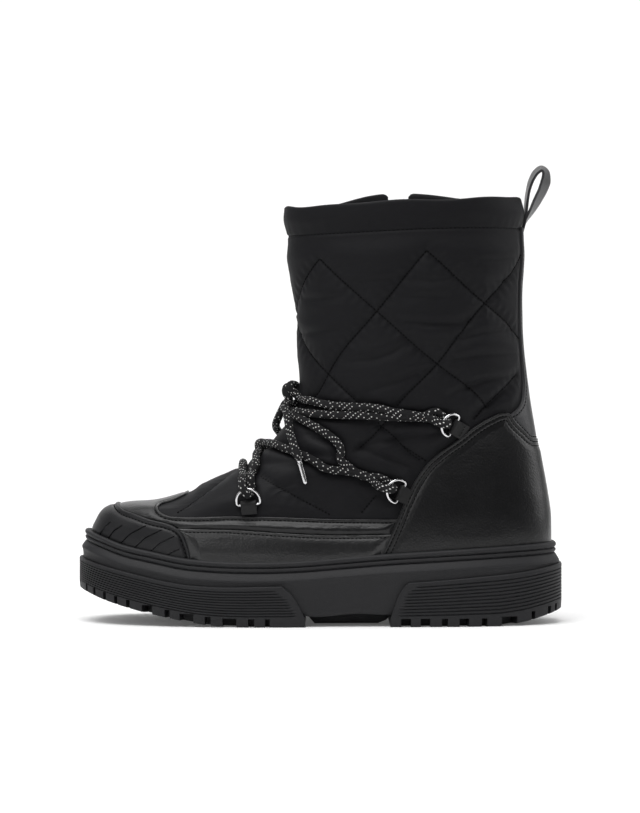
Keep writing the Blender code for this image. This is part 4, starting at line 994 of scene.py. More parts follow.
guard_outline = list(smooth_path(GUARD_EDGE, OUTLINE_STEP)) + GUARD_CORNERS
band_outline = list(smooth_path(VAMP_EDGE, OUTLINE_STEP)) + BAND_CORNERS
lower_outline = list(smooth_path(BAND_LINE, OUTLINE_STEP)) + LOWER_CORNERS
counter_outline = list(smooth_path(COUNTER_EDGE, OUTLINE_STEP)) + COUNTER_CORNERS


def strip_distance(points):
    """Signed distance inside the back strip's sides."""
    width = along(STRIP_HALF_WIDTH, points[..., 2]).reshape(points.shape[:-1])
    inside = width - np.abs(points[..., 1])
    return np.where(points[..., 0] < STRIP_FRONT_X, inside, -20.0)


def cloth_height(points):
    """Height of the nylon where nothing presses on it: pads between seams, puckers, folds and crumples."""
    y = points[:, 1]
    found = [quilt_tree.find(point) for point in points]
    seam_gap = np.array([item[2] for item in found])
    seam_run = quilt_run[[item[1] for item in found]]
    height = PUFF * (1.0 - np.exp(-(seam_gap / PUFF_REACH) ** PUFF_BEND))
    pucker = np.exp(-((seam_gap - PUCKER_REACH) / PUCKER_REACH) ** 2)
    height += PUCKER_HEIGHT * np.sin(seam_run * PUCKER_WAVE) * pucker
    height -= SEAM_DEPTH * np.exp(-(seam_gap / SEAM_HALF_WIDTH) ** 2)
    for line, depth, width in FOLDS:
        height += np.where(y > 0.0, fold_height(points, line, depth, width), 0.0)
        moved = [(fold_x + FOLD_SHIFT[0], fold_z + FOLD_SHIFT[1]) for fold_x, fold_z in line]
        height += np.where(y < 0.0, fold_height(points, moved, depth, width), 0.0)
    for index, (px, py, pz) in enumerate(points):
        for crumple, across, up, shift_x, shift_y in CRUMPLES:
            place = (px * across + shift_x, py * across + shift_y, pz * up)
            height[index] += crumple * noise.noise(place)
    return height


def hem_height(turn, level):
    """Height of the hem band, which ripples along its seam."""
    seam = np.abs(level - HEM_LEVEL)
    share = np.clip((level - HEM_LEVEL) / (COLLAR_LEVEL - HEM_LEVEL), 0.0, 1.0)
    height = COLLAR_FLARE * share ** 3 - HEM_DIP * np.sin(np.pi * share)
    ripple = np.sin(turn * 2.0 * np.pi * HEM_RIPPLES + 2.0 * np.sin(turn * 31.0))
    height += HEM_RIPPLE * ripple * np.exp(-((seam - 3.0) / 4.0) ** 2)
    return np.where(level > HEM_LEVEL, height, 0.0) - HEM_SEAM * np.exp(-(seam / HEM_SEAM) ** 2)


def padding(points, turn, level):
    """Height of the nylon over the plain form, lower under layers and lacing, at the zip and at the hem."""
    x, y, z = points.T
    cover = strip_distance(points)
    for outline in (guard_outline, band_outline, counter_outline):
        cover = np.maximum(cover, inside_distance(outline, points))
    height = cloth_height(points) * fade(*COVER_FADE, -cover)
    lace_gap = np.array([lace_tree.find(point)[2] for point in points])
    ring_gap = np.array([ring_tree.find(point)[2] for point in points])
    press = np.exp(-(lace_gap / LACE_PRESS_REACH) ** 2)
    press = np.maximum(press, np.exp(-(ring_gap / RING_PRESS_REACH) ** 4))
    height = height * (1.0 - press) - PRESS_DEPTH * press
    slot_gap = np.abs(x - ZIP_X) - ZIP_SLOT_WIDTH / 2.0
    beside_slot = (y < 0.0) & (z > ZIP_FOOT_Z - SLOT_PRESS_BELOW)
    at_slot = np.where(beside_slot, np.exp(-(np.maximum(slot_gap, 0.0) / SLOT_PRESS_REACH) ** 2), 0.0)
    height = height * (1.0 - SLOT_PRESS * at_slot)
    edge = np.where((y < 0.0) & (z > ZIP_FOOT_Z), np.clip(1.0 - slot_gap / SLOT_EDGE_WIDTH, 0.0, 1.0), 0.0)
    height -= SLOT_EDGE_DROP * edge ** 2
    return height * fade(0.0, HEM_FADE, np.maximum(HEM_LEVEL - level, 0.0)) + hem_height(turn, level)


def rim_shift(points, turn, level):
    """Rise and fall of the collar's edge, which dips into rounded corners at both sides of the zip."""
    wave = sum(height * np.sin(turn * 2.0 * np.pi * count + phase) for height, count, phase in RIM_WAVES)
    gap = np.abs(points[:, 0] - ZIP_X) - ZIP_SLOT_WIDTH / 2.0
    share = np.where(points[:, 1] < 0.0, np.clip(1.0 - gap / CORNER_ROUND, 0.0, 0.98), 0.0)
    corner = CORNER_ROUND * (1.0 - np.sqrt(1.0 - share ** 2))
    return (wave - corner) * fade(HEM_LEVEL + 4.0, RIM_LEVEL, level)


UPPER_ROWS = 204
HEM_ROWS = np.arange(HEM_LEVEL - 3.0, HEM_LEVEL + 3.1, 0.5)
ROLL_ANGLES = (30.0, 60.0, 90.0, 120.0, 150.0, 180.0)
FACING_LEVELS = (247.5, 245.0, 241.5, 238.0, 234.0)
FACING_SINK = 2.0 * COLLAR_ROLL + 0.2
INNER_SIDE_Y = -20.0
SLOT_ZONE_FOOT_Z = 70.0
SLOT_ZONE_HALF_WIDTH = 12.0
SLOT_SNAP = 0.02
rows = np.concatenate([np.linspace(LOW_LEVEL, RIM_LEVEL, UPPER_ROWS), HEM_ROWS])
rows = np.unique(np.round(rows, 3))
column_turns = np.concatenate([
    np.arange(OUTER_COLUMNS) * 0.5 / OUTER_COLUMNS, 0.5 + np.arange(INNER_COLUMNS) * 0.5 / INNER_COLUMNS
])
upper_turn, upper_level = [values.ravel() for values in np.meshgrid(column_turns, rows)]
plain = form(upper_turn, upper_level)
upper_points = plain + outward(upper_turn, upper_level) * padding(plain, upper_turn, upper_level)[:, None]
upper_points[:, 2] += rim_shift(plain, upper_turn, upper_level)
upper_points = upper_points.reshape(len(rows), len(column_turns), 3)
rim_level = np.full(len(column_turns), RIM_LEVEL)
rim_out = outward(column_turns, rim_level)
rim_up = unit(form(column_turns, rim_level) - form(column_turns, rim_level - 1.0))
roll_rows = []
for angle in np.radians(ROLL_ANGLES):
    roll_rows.append(upper_points[-1] + rim_out * COLLAR_ROLL * (math.cos(angle) - 1.0)
                     + rim_up * COLLAR_ROLL * math.sin(angle))
for level in FACING_LEVELS:
    inner_level = np.full(len(column_turns), level)
    inner_row = skin(column_turns, inner_level, -FACING_SINK)
    inner_row[:, 2] += rim_shift(inner_row, column_turns, inner_level)
    roll_rows.append(inner_row)
upper_form = grid_form(np.concatenate([upper_points, np.array(roll_rows)]), wrap=True)


def in_slot_zone(item):
    """Whether a face, edge or vertex lies by the zip."""
    corners = [item] if isinstance(item, bmesh.types.BMVert) else item.verts
    middle = sum((vertex.co for vertex in corners), Vector()) / len(corners) / MM
    if middle.y > INNER_SIDE_Y or middle.z < SLOT_ZONE_FOOT_Z:
        return False
    return abs(middle.x - ZIP_X) < SLOT_ZONE_HALF_WIDTH


for plane_x, plane_z, direction in (
    (ZIP_X - ZIP_SLOT_WIDTH / 2.0, 0.0, (1.0, 0.0, 0.0)),
    (ZIP_X + ZIP_SLOT_WIDTH / 2.0, 0.0, (1.0, 0.0, 0.0)),
    (0.0, ZIP_FOOT_Z, (0.0, 0.0, 1.0)),
):
    zone = [item for group in (upper_form.verts, upper_form.edges, upper_form.faces) for item in group
            if in_slot_zone(item)]
    bmesh.ops.bisect_plane(upper_form, geom=zone, dist=SLOT_SNAP * MM, plane_no=direction,
                           plane_co=(plane_x * MM, 0.0, plane_z * MM))
slot_faces = []
for face in upper_form.faces:
    middle = face.calc_center_median() / MM
    if middle.y < INNER_SIDE_Y and middle.z > ZIP_FOOT_Z and abs(middle.x - ZIP_X) < ZIP_SLOT_WIDTH / 2.0:
        slot_faces.append(face)
bmesh.ops.delete(upper_form, geom=slot_faces, context="FACES")


def nylon_finish():
    """Satin nylon: a fine weave, small crinkles that run across, and roughness that wanders."""
    finish, place, shader = new_finish(
        "quilted_nylon", {"Base Color": (0.0062, 0.0062, 0.0074, 1.0), "Specular IOR Level": 0.14}
    )
    wide = place.node("ShaderNodeMapping", None, {"Vector": place, "Scale": (1.0, 1.0, 2.4)})
    crinkle = wide.noise(130.0, 5.0, Roughness=0.55, Distortion=0.3)
    weave = place.wave("X", 900.0) + place.wave("Z", 900.0)
    bump = weave.bump(0.2, 0.00012, Normal=crinkle.bump(0.3, 0.0007))
    feed(shader, {"Roughness": 0.54 + place.noise(38.0, 3.0) * 0.14, "Normal": bump})
    return finish


NYLON = nylon_finish()
upper_shell = add_piece("upper_shell", upper_form, NYLON, ["upper"])

# Thread: black sewing thread, one short raised stitch after another, pulled into what it holds. The quilting,
# the hem and every layer are sewn with it.
Stitch = namedtuple("Stitch", "pitch length radius")
QUILT_THREAD = Stitch(2.1, 1.6, 0.46)
HEM_THREAD = Stitch(2.6, 2.0, 0.30)
ZIP_THREAD = Stitch(2.4, 1.8, 0.28)
GUARD_THREAD = Stitch(2.6, 1.9, 0.32)
LEATHER_THREAD = Stitch(2.4, 1.8, 0.3)
TAB_THREAD = Stitch(1.9, 1.4, 0.26)
QUILT_THREAD_LIFT = 0.25
HEM_THREAD_LIFT = -0.05
HEM_POINTS = 401
HEM_ZIP_MARGIN = 1.5
QUILT_ZIP_MARGIN = 2.5
LAYER_MARGIN = 1.0
SHORTEST_RUN = 4
THREAD, thread_place, thread_shader = new_finish(
    "black_thread", {"Base Color": (0.0016, 0.0016, 0.0018, 1.0), "Roughness": 0.8, "Specular IOR Level": 0.1}
)
feed(thread_shader, {"Normal": thread_place.noise(2600.0).bump(0.5, 0.0001)})


def stamp(template, spots):
    """Copies of a bmesh at frames, as one; the template is freed."""
    mesh = bpy.data.meshes.new("template")
    template.to_mesh(mesh)
    template.free()
    made = bmesh.new()
    for spot in spots:
        copy = mesh.copy()
        copy.transform(spot)
        made.from_mesh(copy)
        bpy.data.meshes.remove(copy)
    bpy.data.meshes.remove(mesh)
    return made


def sew(name, lines, stitch):
    """Stitches along lines of (points, normals) in millimetres, as one piece."""
    template = bmesh.new()
    bmesh.ops.create_uvsphere(template, u_segments=6, v_segments=5, radius=MM)
    bmesh.ops.scale(template, vec=(stitch.radius, stitch.radius, stitch.length / 2.0), verts=template.verts)
    spots = []
    for points, normals in lines:
        runs = run_lengths(points)
        for place in np.arange(stitch.pitch / 2.0, runs[-1], stitch.pitch):
            index = min(int(np.searchsorted(runs, place)), len(points) - 1)
            share = (place - runs[index - 1]) / (runs[index] - runs[index - 1])
            middle = points[index - 1] * (1.0 - share) + points[index] * share
            way = Vector(points[index] - points[index - 1]).normalized()
            out = Vector(normals[index])
            out = (out - way * out.dot(way)).normalized()
            spots.append(axes_frame(out.cross(way), out, way, middle))
    add_piece(name, stamp(template, spots), THREAD)


def over_padding(places, lift):
    """Points of the plain form at turns and levels, the same points on the padding, and their normals."""
    turn, level = places.T
    base = form(turn, level)
    normal = outward(turn, level)
    return base, base + normal * (padding(base, turn, level) + lift)[:, None], normal


def shown_runs(points, normals, hidden):
    """Runs of a stitch line that nothing hides."""
    ends = np.flatnonzero(np.diff(np.concatenate([[1], hidden.astype(int), [1]])))
    pairs = [(first, last) for first, last in zip(ends[::2], ends[1::2]) if last - first > SHORTEST_RUN]
    return [(points[first:last], normals[first:last]) for first, last in pairs]


quilt_seams = []
for path in quilt_paths:
    base, points, normal = over_padding(path, QUILT_THREAD_LIFT)
    slot_gap = np.abs(base[:, 0] - ZIP_X) - ZIP_SLOT_WIDTH / 2.0
    hidden = (base[:, 1] < 0.0) & (base[:, 2] > ZIP_FOOT_Z) & (slot_gap < QUILT_ZIP_MARGIN)
    hidden |= strip_distance(base) > -LAYER_MARGIN
    for outline in (band_outline, counter_outline):
        hidden |= inside_distance(outline, base) > -LAYER_MARGIN
    quilt_seams += shown_runs(points, normal, hidden)
sew("quilt_stitches", quilt_seams, QUILT_THREAD)
hem_places = np.stack([np.linspace(0.0, 1.0, HEM_POINTS), np.full(HEM_POINTS, HEM_LEVEL)], axis=-1)
base, points, normal = over_padding(hem_places, HEM_THREAD_LIFT)
at_zip = (base[:, 1] < 0.0) & (np.abs(base[:, 0] - ZIP_X) < ZIP_SLOT_WIDTH / 2.0 + HEM_ZIP_MARGIN)
sew("hem_stitches", shown_runs(points, normal, at_zip), HEM_THREAD)

# Lining: soft black fleece that covers the padding's inner face, up to the hem's facing. The insole is a
# thin pad covered with the same stuff.
LINING_SINK = 3.3
LINING_FOOT = LOW_LEVEL + 0.5
LINING_TOP = 247.0
LINING_COLUMNS = 160
LINING_ROWS = 90
# Inset from the upper's foot and height over the sole's face inside the rim
INSOLE_EDGE = ((4.4, 0.35), (4.0, 0.8), (4.0, 3.2), (4.4, 4.0), (5.4, 4.4), (9.0, 4.6))


def fleece_finish():
    """Dark fleece: short curls of pile with a soft sheen."""
    finish, place, shader = new_finish(
        "black_fleece", {"Roughness": 0.92, "Sheen Weight": 0.25, "Sheen Roughness": 0.5}
    )
    curl = place.noise(650.0, 4.0, Distortion=1.2)
    tone = curl.tone((0.006, 0.006, 0.007, 1.0), (0.022, 0.022, 0.024, 1.0))
    feed(shader, {"Base Color": tone, "Normal": curl.bump(0.8, 0.0008)})
    return finish


FLEECE = fleece_finish()
round_turns = np.arange(LINING_COLUMNS) / LINING_COLUMNS
lining_turn, lining_level = np.meshgrid(round_turns, np.linspace(LINING_FOOT, LINING_TOP, LINING_ROWS))
lining_points = skin(lining_turn, lining_level, -LINING_SINK).reshape(LINING_ROWS, LINING_COLUMNS, 3)
lining_form = grid_form(lining_points, wrap=True)
bmesh.ops.reverse_faces(lining_form, faces=lining_form.faces)
add_piece("fleece_lining", lining_form, FLEECE)
insole_rows = []
for inset, lift in INSOLE_EDGE:
    ring = skin(round_turns, np.full(LINING_COLUMNS, LOW_LEVEL), -inset)
    ring[:, 2] = deck(ring[:, 0]) + lift
    insole_rows.append(ring)
insole_form = grid_form(np.array(insole_rows), wrap=True)
fill_ends(insole_form, LINING_COLUMNS)
add_piece("insole_pad", insole_form, FLEECE, ["insole"])

# Zip: woven tape in the slit of the inner side, two rows of dark moulded teeth, and a plated slider with a
# hanging pull tab. The tape is sewn to the slit's folded edges.
TAPE_SINK = 1.0
TAPE_FOOT_Z = ZIP_FOOT_Z - 3.0
TAPE_TOP_Z = 255.0
TAPE_HALF_WIDTH = 6.6
TAPE_THICKNESS = 0.8
TAPE_COLUMNS = 12
TAPE_ROWS = 150
TOOTH_PITCH = 1.5
TOOTH_SIZE = (3.0, 0.85, 2.4)
TOOTH_ASIDE = 0.75
TOOTH_LIFT = 0.1
TOOTH_BEVEL = 0.2
CHAIN_FOOT_Z = ZIP_FOOT_Z + 3.0
CHAIN_TOP_Z = 251.0
SLIDER_Z = 238.5
SLIDER_LIFT = 1.9
FLANGE_SIZE = (1.1, 10.0, 3.4)
FLANGE_ASIDE = 3.35
FLANGE_SINK = 0.9
SLIDER_BEVEL = 0.45
PULL_BEVEL = 0.4
ZIP_SEAM_FOOT_Z = ZIP_FOOT_Z - 1.0
ZIP_SEAM_TOP_Z = 252.0
ZIP_SEAM_ASIDE = ZIP_SLOT_WIDTH / 2.0 + 3.0
ZIP_SEAM_POINTS = 160
ZIP_THREAD_LIFT = 0.05


def tape_finish():
    """Woven polyester tape with a fine herringbone."""
    finish, place, shader = new_finish("zip_tape_weave", {"Base Color": (0.009, 0.009, 0.010, 1.0)})
    twill = place.wave("DIAGONAL", 620.0)
    bump = (twill + place.wave("X", 520.0)).bump(0.6, 0.0002)
    feed(shader, {"Normal": bump, "Roughness": 0.6 + twill * 0.2})
    return finish


def plated_finish(name, colour, low_rough, high_rough, scratch):
    """Plated metal with faint scratches and finger marks."""
    finish, place, shader = new_finish(name, {"Base Color": colour, "Metallic": 1.0})
    rough = low_rough + place.noise(300.0, 3.0) * (high_rough - low_rough)
    feed(shader, {"Roughness": rough, "Normal": place.noise(2400.0).bump(scratch, 0.00005)})
    return finish


def thicken(made, thickness):
    """Give a sheet a thickness in millimetres."""
    bmesh.ops.recalc_face_normals(made, faces=made.faces)
    bmesh.ops.solidify(made, geom=made.faces, thickness=thickness * MM)
    bmesh.ops.recalc_face_normals(made, faces=made.faces)


def bevel_edges(made, edges, width, segments):
    """Round edges by a width in millimetres."""
    bmesh.ops.bevel(made, geom=edges, offset=width * MM, segments=segments, profile=0.5, affect="EDGES",
                    material=-1, clamp_overlap=True)


TAPE = tape_finish()
DARK_METAL = plated_finish("dark_metal", (0.075, 0.075, 0.08, 1.0), 0.25, 0.42, 0.3)
tape_x = np.linspace(ZIP_X - TAPE_HALF_WIDTH, ZIP_X + TAPE_HALF_WIDTH, TAPE_COLUMNS)
tape_z = np.linspace(TAPE_FOOT_Z, TAPE_TOP_Z, TAPE_ROWS)
tape_places = find_places([(x, z) for z in tape_z for x in tape_x], lateral=False)
tape_points = skin(tape_places[:, 0], tape_places[:, 1], -TAPE_SINK)
tape_form = grid_form(tape_points.reshape(TAPE_ROWS, TAPE_COLUMNS, 3))
thicken(tape_form, TAPE_THICKNESS)
add_piece("zip_tape_woven", tape_form, TAPE, ["zip_tape"], sharp=50.0)

tooth = bmesh.new()
bmesh.ops.create_cube(tooth, size=MM)
bmesh.ops.scale(tooth, vec=TOOTH_SIZE, verts=tooth.verts)
bevel_edges(tooth, tooth.edges, TOOTH_BEVEL, 1)
tooth_z = np.arange(CHAIN_FOOT_Z, CHAIN_TOP_Z, TOOTH_PITCH / 2.0)
tooth_places = find_places([(ZIP_X, z) for z in tooth_z], lateral=False)
tooth_points = skin(tooth_places[:, 0], tooth_places[:, 1], TOOTH_LIFT)
tooth_out = outward(tooth_places[:, 0], tooth_places[:, 1])
tooth_spots = []
for index, (point, normal) in enumerate(zip(tooth_points, tooth_out)):
    out = Vector(normal)
    across = Vector((1.0, 0.0, 0.0))
    across = (across - out * across.dot(out)).normalized()
    middle = Vector(point) + across * TOOTH_ASIDE * (1.0 if index % 2 else -1.0)
    tooth_spots.append(axes_frame(across, out.cross(across), out, middle))
chain_form = stamp(tooth, tooth_spots)
add_piece("zip_teeth", chain_form, DARK_METAL, ["zip_chain"], sharp=40.0)


def rounded_copy(node, width, body="boot", walls=()):
    """Copy of a CAD piece with walls added and its sharp edges rounded."""
    made = bmesh.new()
    made.from_mesh(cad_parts[node].data)
    bmesh.ops.remove_doubles(made, verts=made.verts, dist=0.000001)
    if walls:
        made = carve(made, [(boxes_cutter(node + "_walls", walls), "UNION")])
    bmesh.ops.dissolve_limit(made, angle_limit=math.radians(1.0), verts=made.verts, edges=made.edges)
    edges = [edge for edge in made.edges
             if len(edge.link_faces) == 2 and edge.is_convex and edge.calc_face_angle() > 0.6]
    bevel_edges(made, edges, width, 3)
    add_piece(node + "_rounded", made, DARK_METAL, [node], sharp=35.0, body=body)


slider_place = find_places([(ZIP_X, SLIDER_Z)], lateral=False)
slider_foot = Vector(skin(slider_place[:, 0], slider_place[:, 1], SLIDER_LIFT)[0])
slider_out = Vector(outward(slider_place[:, 0], slider_place[:, 1])[0])
slider_out = Vector((0.0, slider_out.y, slider_out.z)).normalized()
slider_across = Vector((1.0, 0.0, 0.0))
flanges = []
for aside in (-FLANGE_ASIDE, FLANGE_ASIDE):
    middle = slider_foot + slider_across * aside - slider_out * FLANGE_SINK
    spot = axes_frame(slider_across, slider_out.cross(slider_across), slider_out, middle)
    flanges.append((spot, FLANGE_SIZE))
rounded_copy("zip_slider", SLIDER_BEVEL, walls=flanges)
rounded_copy("zip_pull_tab", PULL_BEVEL, body="zip_pull")
zip_seams = []
seam_z = np.linspace(ZIP_SEAM_FOOT_Z, ZIP_SEAM_TOP_Z, ZIP_SEAM_POINTS)
for aside in (-ZIP_SEAM_ASIDE, ZIP_SEAM_ASIDE):
    places = find_places([(ZIP_X + aside, z) for z in seam_z], lateral=False)
    zip_seams.append(over_padding(places, ZIP_THREAD_LIFT)[1:])
sew("zip_stitches", zip_seams, ZIP_THREAD)

# Toe guard: a moulded rubber cap round the toe, with a half-round bead along its edge, a sewn channel inside
# the bead and slanted grooves on each side. It is cemented and sewn over the leather.
GUARD_HEIGHTS = ((0.0, -0.6), (0.06, 1.0), (0.3, 1.8), (0.75, 2.25), (1.3, 2.3), (1.8, 2.05), (2.2, 1.5),
                 (2.6, 1.15), (3.0, 1.1), (3.4, 1.45), (3.9, 1.85), (5.0, 2.1), (8.0, 2.3))
GUARD_STITCH = 2.8
GROOVE_EDGE = 0.42
GROOVE_FLOOR = 0.2
GROOVE_DEPTH = 0.8
LINE_SNAP = 0.05
ON_LINE = 0.0001
LAYER_THREAD_LIFT = 0.12
SHORTEST_LINE = 6
SLOPE_LIMITS = (0.3, 1.1)
GUARD_GROOVES = (((129.8, 52.1), (127.0, 56.4), (123.3, 59.7)), ((124.8, 50.4), (121.0, 54.8), (116.2, 58.1)),
                 ((117.9, 47.6), (111.0, 53.6), (102.5, 58.3)), ((109.8, 45.1), (102.5, 51.4), (93.1, 56.2)),
                 ((100.3, 43.1), (94.0, 48.6), (85.9, 52.6)), ((90.1, 41.1), (86.8, 43.7), (82.6, 45.5)))


def cut_along(made, layer, cut):
    """Split a patch's edges and faces along the line where a value of its points equals cut."""
    for vertex in made.verts:
        if abs(vertex[layer] - cut) < LINE_SNAP:
            vertex[layer] = cut
    for edge in list(made.edges):
        first, last = edge.verts
        if (first[layer] - cut) * (last[layer] - cut) < -0.0000001:
            share = (cut - first[layer]) / (last[layer] - first[layer])
            _, fresh = bmesh.utils.edge_split(edge, first, share)
            fresh[layer] = cut
    for face in list(made.faces):
        on_line = [vertex for vertex in face.verts if abs(vertex[layer] - cut) < ON_LINE]
        if len(on_line) == 2 and not any(edge in on_line[1].link_edges for edge in on_line[0].link_edges):
            bmesh.utils.face_split(face, on_line[0], on_line[1])


def line_order(edges):
    """Vertices of a line of edges in order, one list for each run."""
    beside = {}
    for edge in edges:
        for vertex, other in (edge.verts, tuple(reversed(edge.verts))):
            beside.setdefault(vertex, []).append(other)
    seen = set()
    runs = []
    for start in sorted(beside, key=lambda vertex: (len(beside[vertex]) != 1, vertex.index)):
        if start in seen:
            continue
        run = [start]
        seen.add(start)
        while True:
            ahead = [other for other in beside[run[-1]] if other not in seen]
            if not ahead:
                break
            run.append(ahead[0])
            seen.add(ahead[0])
        runs.append(run)
    return runs


def true_distance(points, gap):
    """Distances given on a grid of points in the side view, made true to length along the form."""
    by_turn = np.gradient(points, axis=1)
    by_level = np.gradient(points, axis=0)
    gap_turn = np.gradient(gap, axis=1)
    gap_level = np.gradient(gap, axis=0)
    turn_turn = (by_turn ** 2).sum(-1)
    turn_level = (by_turn * by_level).sum(-1)
    level_level = (by_level ** 2).sum(-1)
    slope = level_level * gap_turn ** 2 - 2.0 * turn_level * gap_turn * gap_level + turn_turn * gap_level ** 2
    slope = np.sqrt(slope / (turn_turn * level_level - turn_level ** 2))
    return gap / np.clip(slope, *SLOPE_LIMITS)


def overlay_form(turns, levels, distance, heights, stitch_rows=(), detail=None, grooves=()):
    """Layer over the upper: a patch of its form, cut along lines of equal distance from the layer's outline
    and raised by a table of (distance from the edge, height). It is also cut along both sides of grooves.
    Gives the patch and its lines for stitches."""
    grid_turn, grid_level = np.meshgrid(turns, levels)
    points = form(grid_turn, grid_level).reshape(*grid_turn.shape, 3)
    gap = true_distance(points, distance(points))
    made = bmesh.new()
    bmesh.ops.create_grid(made, x_segments=len(turns) - 1, y_segments=len(levels) - 1, size=1.0)
    turn_layer = made.verts.layers.float.new("turn")
    level_layer = made.verts.layers.float.new("level")
    gap_layer = made.verts.layers.float.new("gap")
    for vertex, turn, level, inside in zip(made.verts, grid_turn.ravel(), grid_level.ravel(), gap.ravel()):
        vertex[turn_layer] = turn
        vertex[level_layer] = level
        vertex[gap_layer] = inside
    far = [face for face in made.faces if max(vertex[gap_layer] for vertex in face.verts) < -0.1]
    bmesh.ops.delete(made, geom=far, context="FACES")
    for cut in sorted({row[0] for row in heights} | set(stitch_rows)):
        cut_along(made, gap_layer, cut)
    groove_layer = made.verts.layers.float.new("groove")
    for line in grooves:
        turn, level = np.array([(vertex[turn_layer], vertex[level_layer]) for vertex in made.verts]).T
        base = form(turn, level)
        for vertex, signed in zip(made.verts, line_place(line, base)[0]):
            vertex[groove_layer] = signed
        for cut in (-GROOVE_EDGE, -GROOVE_FLOOR, GROOVE_FLOOR, GROOVE_EDGE):
            cut_along(made, groove_layer, cut)
    outside = [face for face in made.faces if min(vertex[gap_layer] for vertex in face.verts) < -0.001]
    bmesh.ops.delete(made, geom=outside, context="FACES")
    made.verts.index_update()
    turn, level, gap = np.array([(vertex[turn_layer], vertex[level_layer], vertex[gap_layer])
                                 for vertex in made.verts]).T
    base = form(turn, level)
    normal = outward(turn, level)
    height = np.interp(gap, [row[0] for row in heights], [row[1] for row in heights])
    if detail is not None:
        height = height + detail(base, gap)
    places = base + normal * height[:, None]
    for vertex, place in zip(made.verts, places * MM):
        vertex.co = place
    lines = []
    for row in stitch_rows:
        edges = [edge for edge in made.edges
                 if all(abs(vertex[gap_layer] - row) < ON_LINE for vertex in edge.verts)]
        for run in line_order(edges):
            index = [vertex.index for vertex in run]
            if len(index) > SHORTEST_LINE:
                lines.append((places[index] + normal[index] * LAYER_THREAD_LIFT, normal[index]))
    bmesh.ops.recalc_face_normals(made, faces=made.faces)
    return made, lines


def guard_detail(points, gap):
    """Slanted grooves of the guard."""
    dip = np.zeros(len(points))
    for line in GUARD_GROOVES:
        apart = np.abs(line_place(line, points)[0])
        dip = np.maximum(dip, np.clip((GROOVE_EDGE - apart) / (GROOVE_EDGE - GROOVE_FLOOR), 0.0, 1.0))
    return -GROOVE_DEPTH * dip * fade(3.4, 4.4, gap)


GUARD_RUBBER = moulded_finish("guard_rubber", (0.007, 0.007, 0.008, 1.0), (0.0105, 0.0105, 0.0118, 1.0),
                              0.36, 0.5, 1700.0, 0.0001)
guard_form, guard_lines = overlay_form(
    np.linspace(-0.225, 0.225, 440), np.linspace(38.0, 76.0, 84),
    lambda points: inside_distance(guard_outline, points), GUARD_HEIGHTS, [GUARD_STITCH], guard_detail,
    GUARD_GROOVES,
)
add_piece("toe_guard_rubber", guard_form, GUARD_RUBBER, ["toe_guard"], sharp=50.0)
sew("guard_stitches", guard_lines, GUARD_THREAD)

# Leather bands: smooth black leather with a soft shine. The upper band runs from the heel counter round into
# the toe panel; the lower band lies over its edge and is sewn down along its top.
BAND_HEIGHTS = ((0.0, -0.6), (0.06, 0.75), (0.3, 1.1), (0.8, 1.25), (1.5, 1.15), (1.85, 0.75), (2.1, 0.6),
                (2.4, 0.75), (2.8, 1.0), (3.4, 1.2), (6.0, 1.3))
BAND_STITCH = 2.1
LOWER_HEIGHTS = ((0.0, -0.2), (0.06, 1.1), (0.4, 1.6), (0.9, 1.85), (1.4, 1.8), (1.75, 1.5), (2.0, 1.4),
                 (2.3, 1.45), (2.8, 1.55), (3.6, 1.68), (5.0, 1.8))
LOWER_STITCH = 2.0
BAND_BULGE = 1.3
LOWER_BULGE = 2.0
BULGE_BEND = 1.6
SWELL_HEIGHT = 0.16
SWELL_SCALE = (0.06, 0.06, 0.09)
HIDDEN_MARGIN = 0.9


def leather_finish(name, dark, pale, low_rough, high_rough, grain_scale, grain_depth, coat):
    """Finished leather: pebbled grain, fine creases, a thin glaze that wears unevenly."""
    finish, place, shader = new_finish(
        name, {"Coat Weight": coat, "Coat Roughness": 0.35, "Specular IOR Level": 0.29}
    )
    cloud = place.noise(60.0, 4.0)
    pebble = place.node("ShaderNodeTexVoronoi", {"feature": "SMOOTH_F1"},
                        {"Vector": place, "Scale": grain_scale, "Smoothness": 0.6})
    crease = place.noise(grain_scale * 0.22, 5.0, Distortion=0.8)
    rough = low_rough + (high_rough - low_rough) * (cloud * 0.6 + crease * 0.4)
    bump = (pebble + crease * 1.4).bump(0.5, grain_depth)
    feed(shader, {"Base Color": cloud.tone(dark, pale), "Roughness": rough, "Normal": bump})
    return finish


def tucked_distance(points, outline, *covers):
    """Signed distance inside an outline that ends a little way under other layers: (outline, overlap)."""
    inside = inside_distance(outline, points)
    for cover, overlap in covers:
        inside = np.minimum(inside, overlap - inside_distance(cover, points))
    return inside


def band_distance(points):
    """Signed distance inside the upper band."""
    covers = ((guard_outline, 2.3), (counter_outline, 1.5), (lower_outline, 3.0))
    return tucked_distance(points, band_outline, *covers)


def lower_distance(points):
    """Signed distance inside the lower band."""
    return tucked_distance(points, lower_outline, (guard_outline, 2.0), (counter_outline, 1.3))


def leather_swell(points, gap):
    """Slow swell of soft leather, flat along its stitches."""
    swell = np.array([noise.noise(place) for place in points * SWELL_SCALE])
    return SWELL_HEIGHT * swell * fade(3.5, 7.0, gap)


def band_detail(points, gap):
    """Round bulge of the upper band between its stitches and the lower band."""
    below = np.maximum(inside_distance(band_outline, points) - BAND_STITCH, 0.0)
    over = np.maximum(-inside_distance(lower_outline, points), 0.0)
    bulge = BAND_BULGE * np.sin(np.pi * (below / (below + over + 0.01)) ** BULGE_BEND)
    bulge = bulge * fade(90.0, 66.0, points[:, 0])
    return leather_swell(points, gap) + bulge * fade(0.0, 6.0, -inside_distance(counter_outline, points))


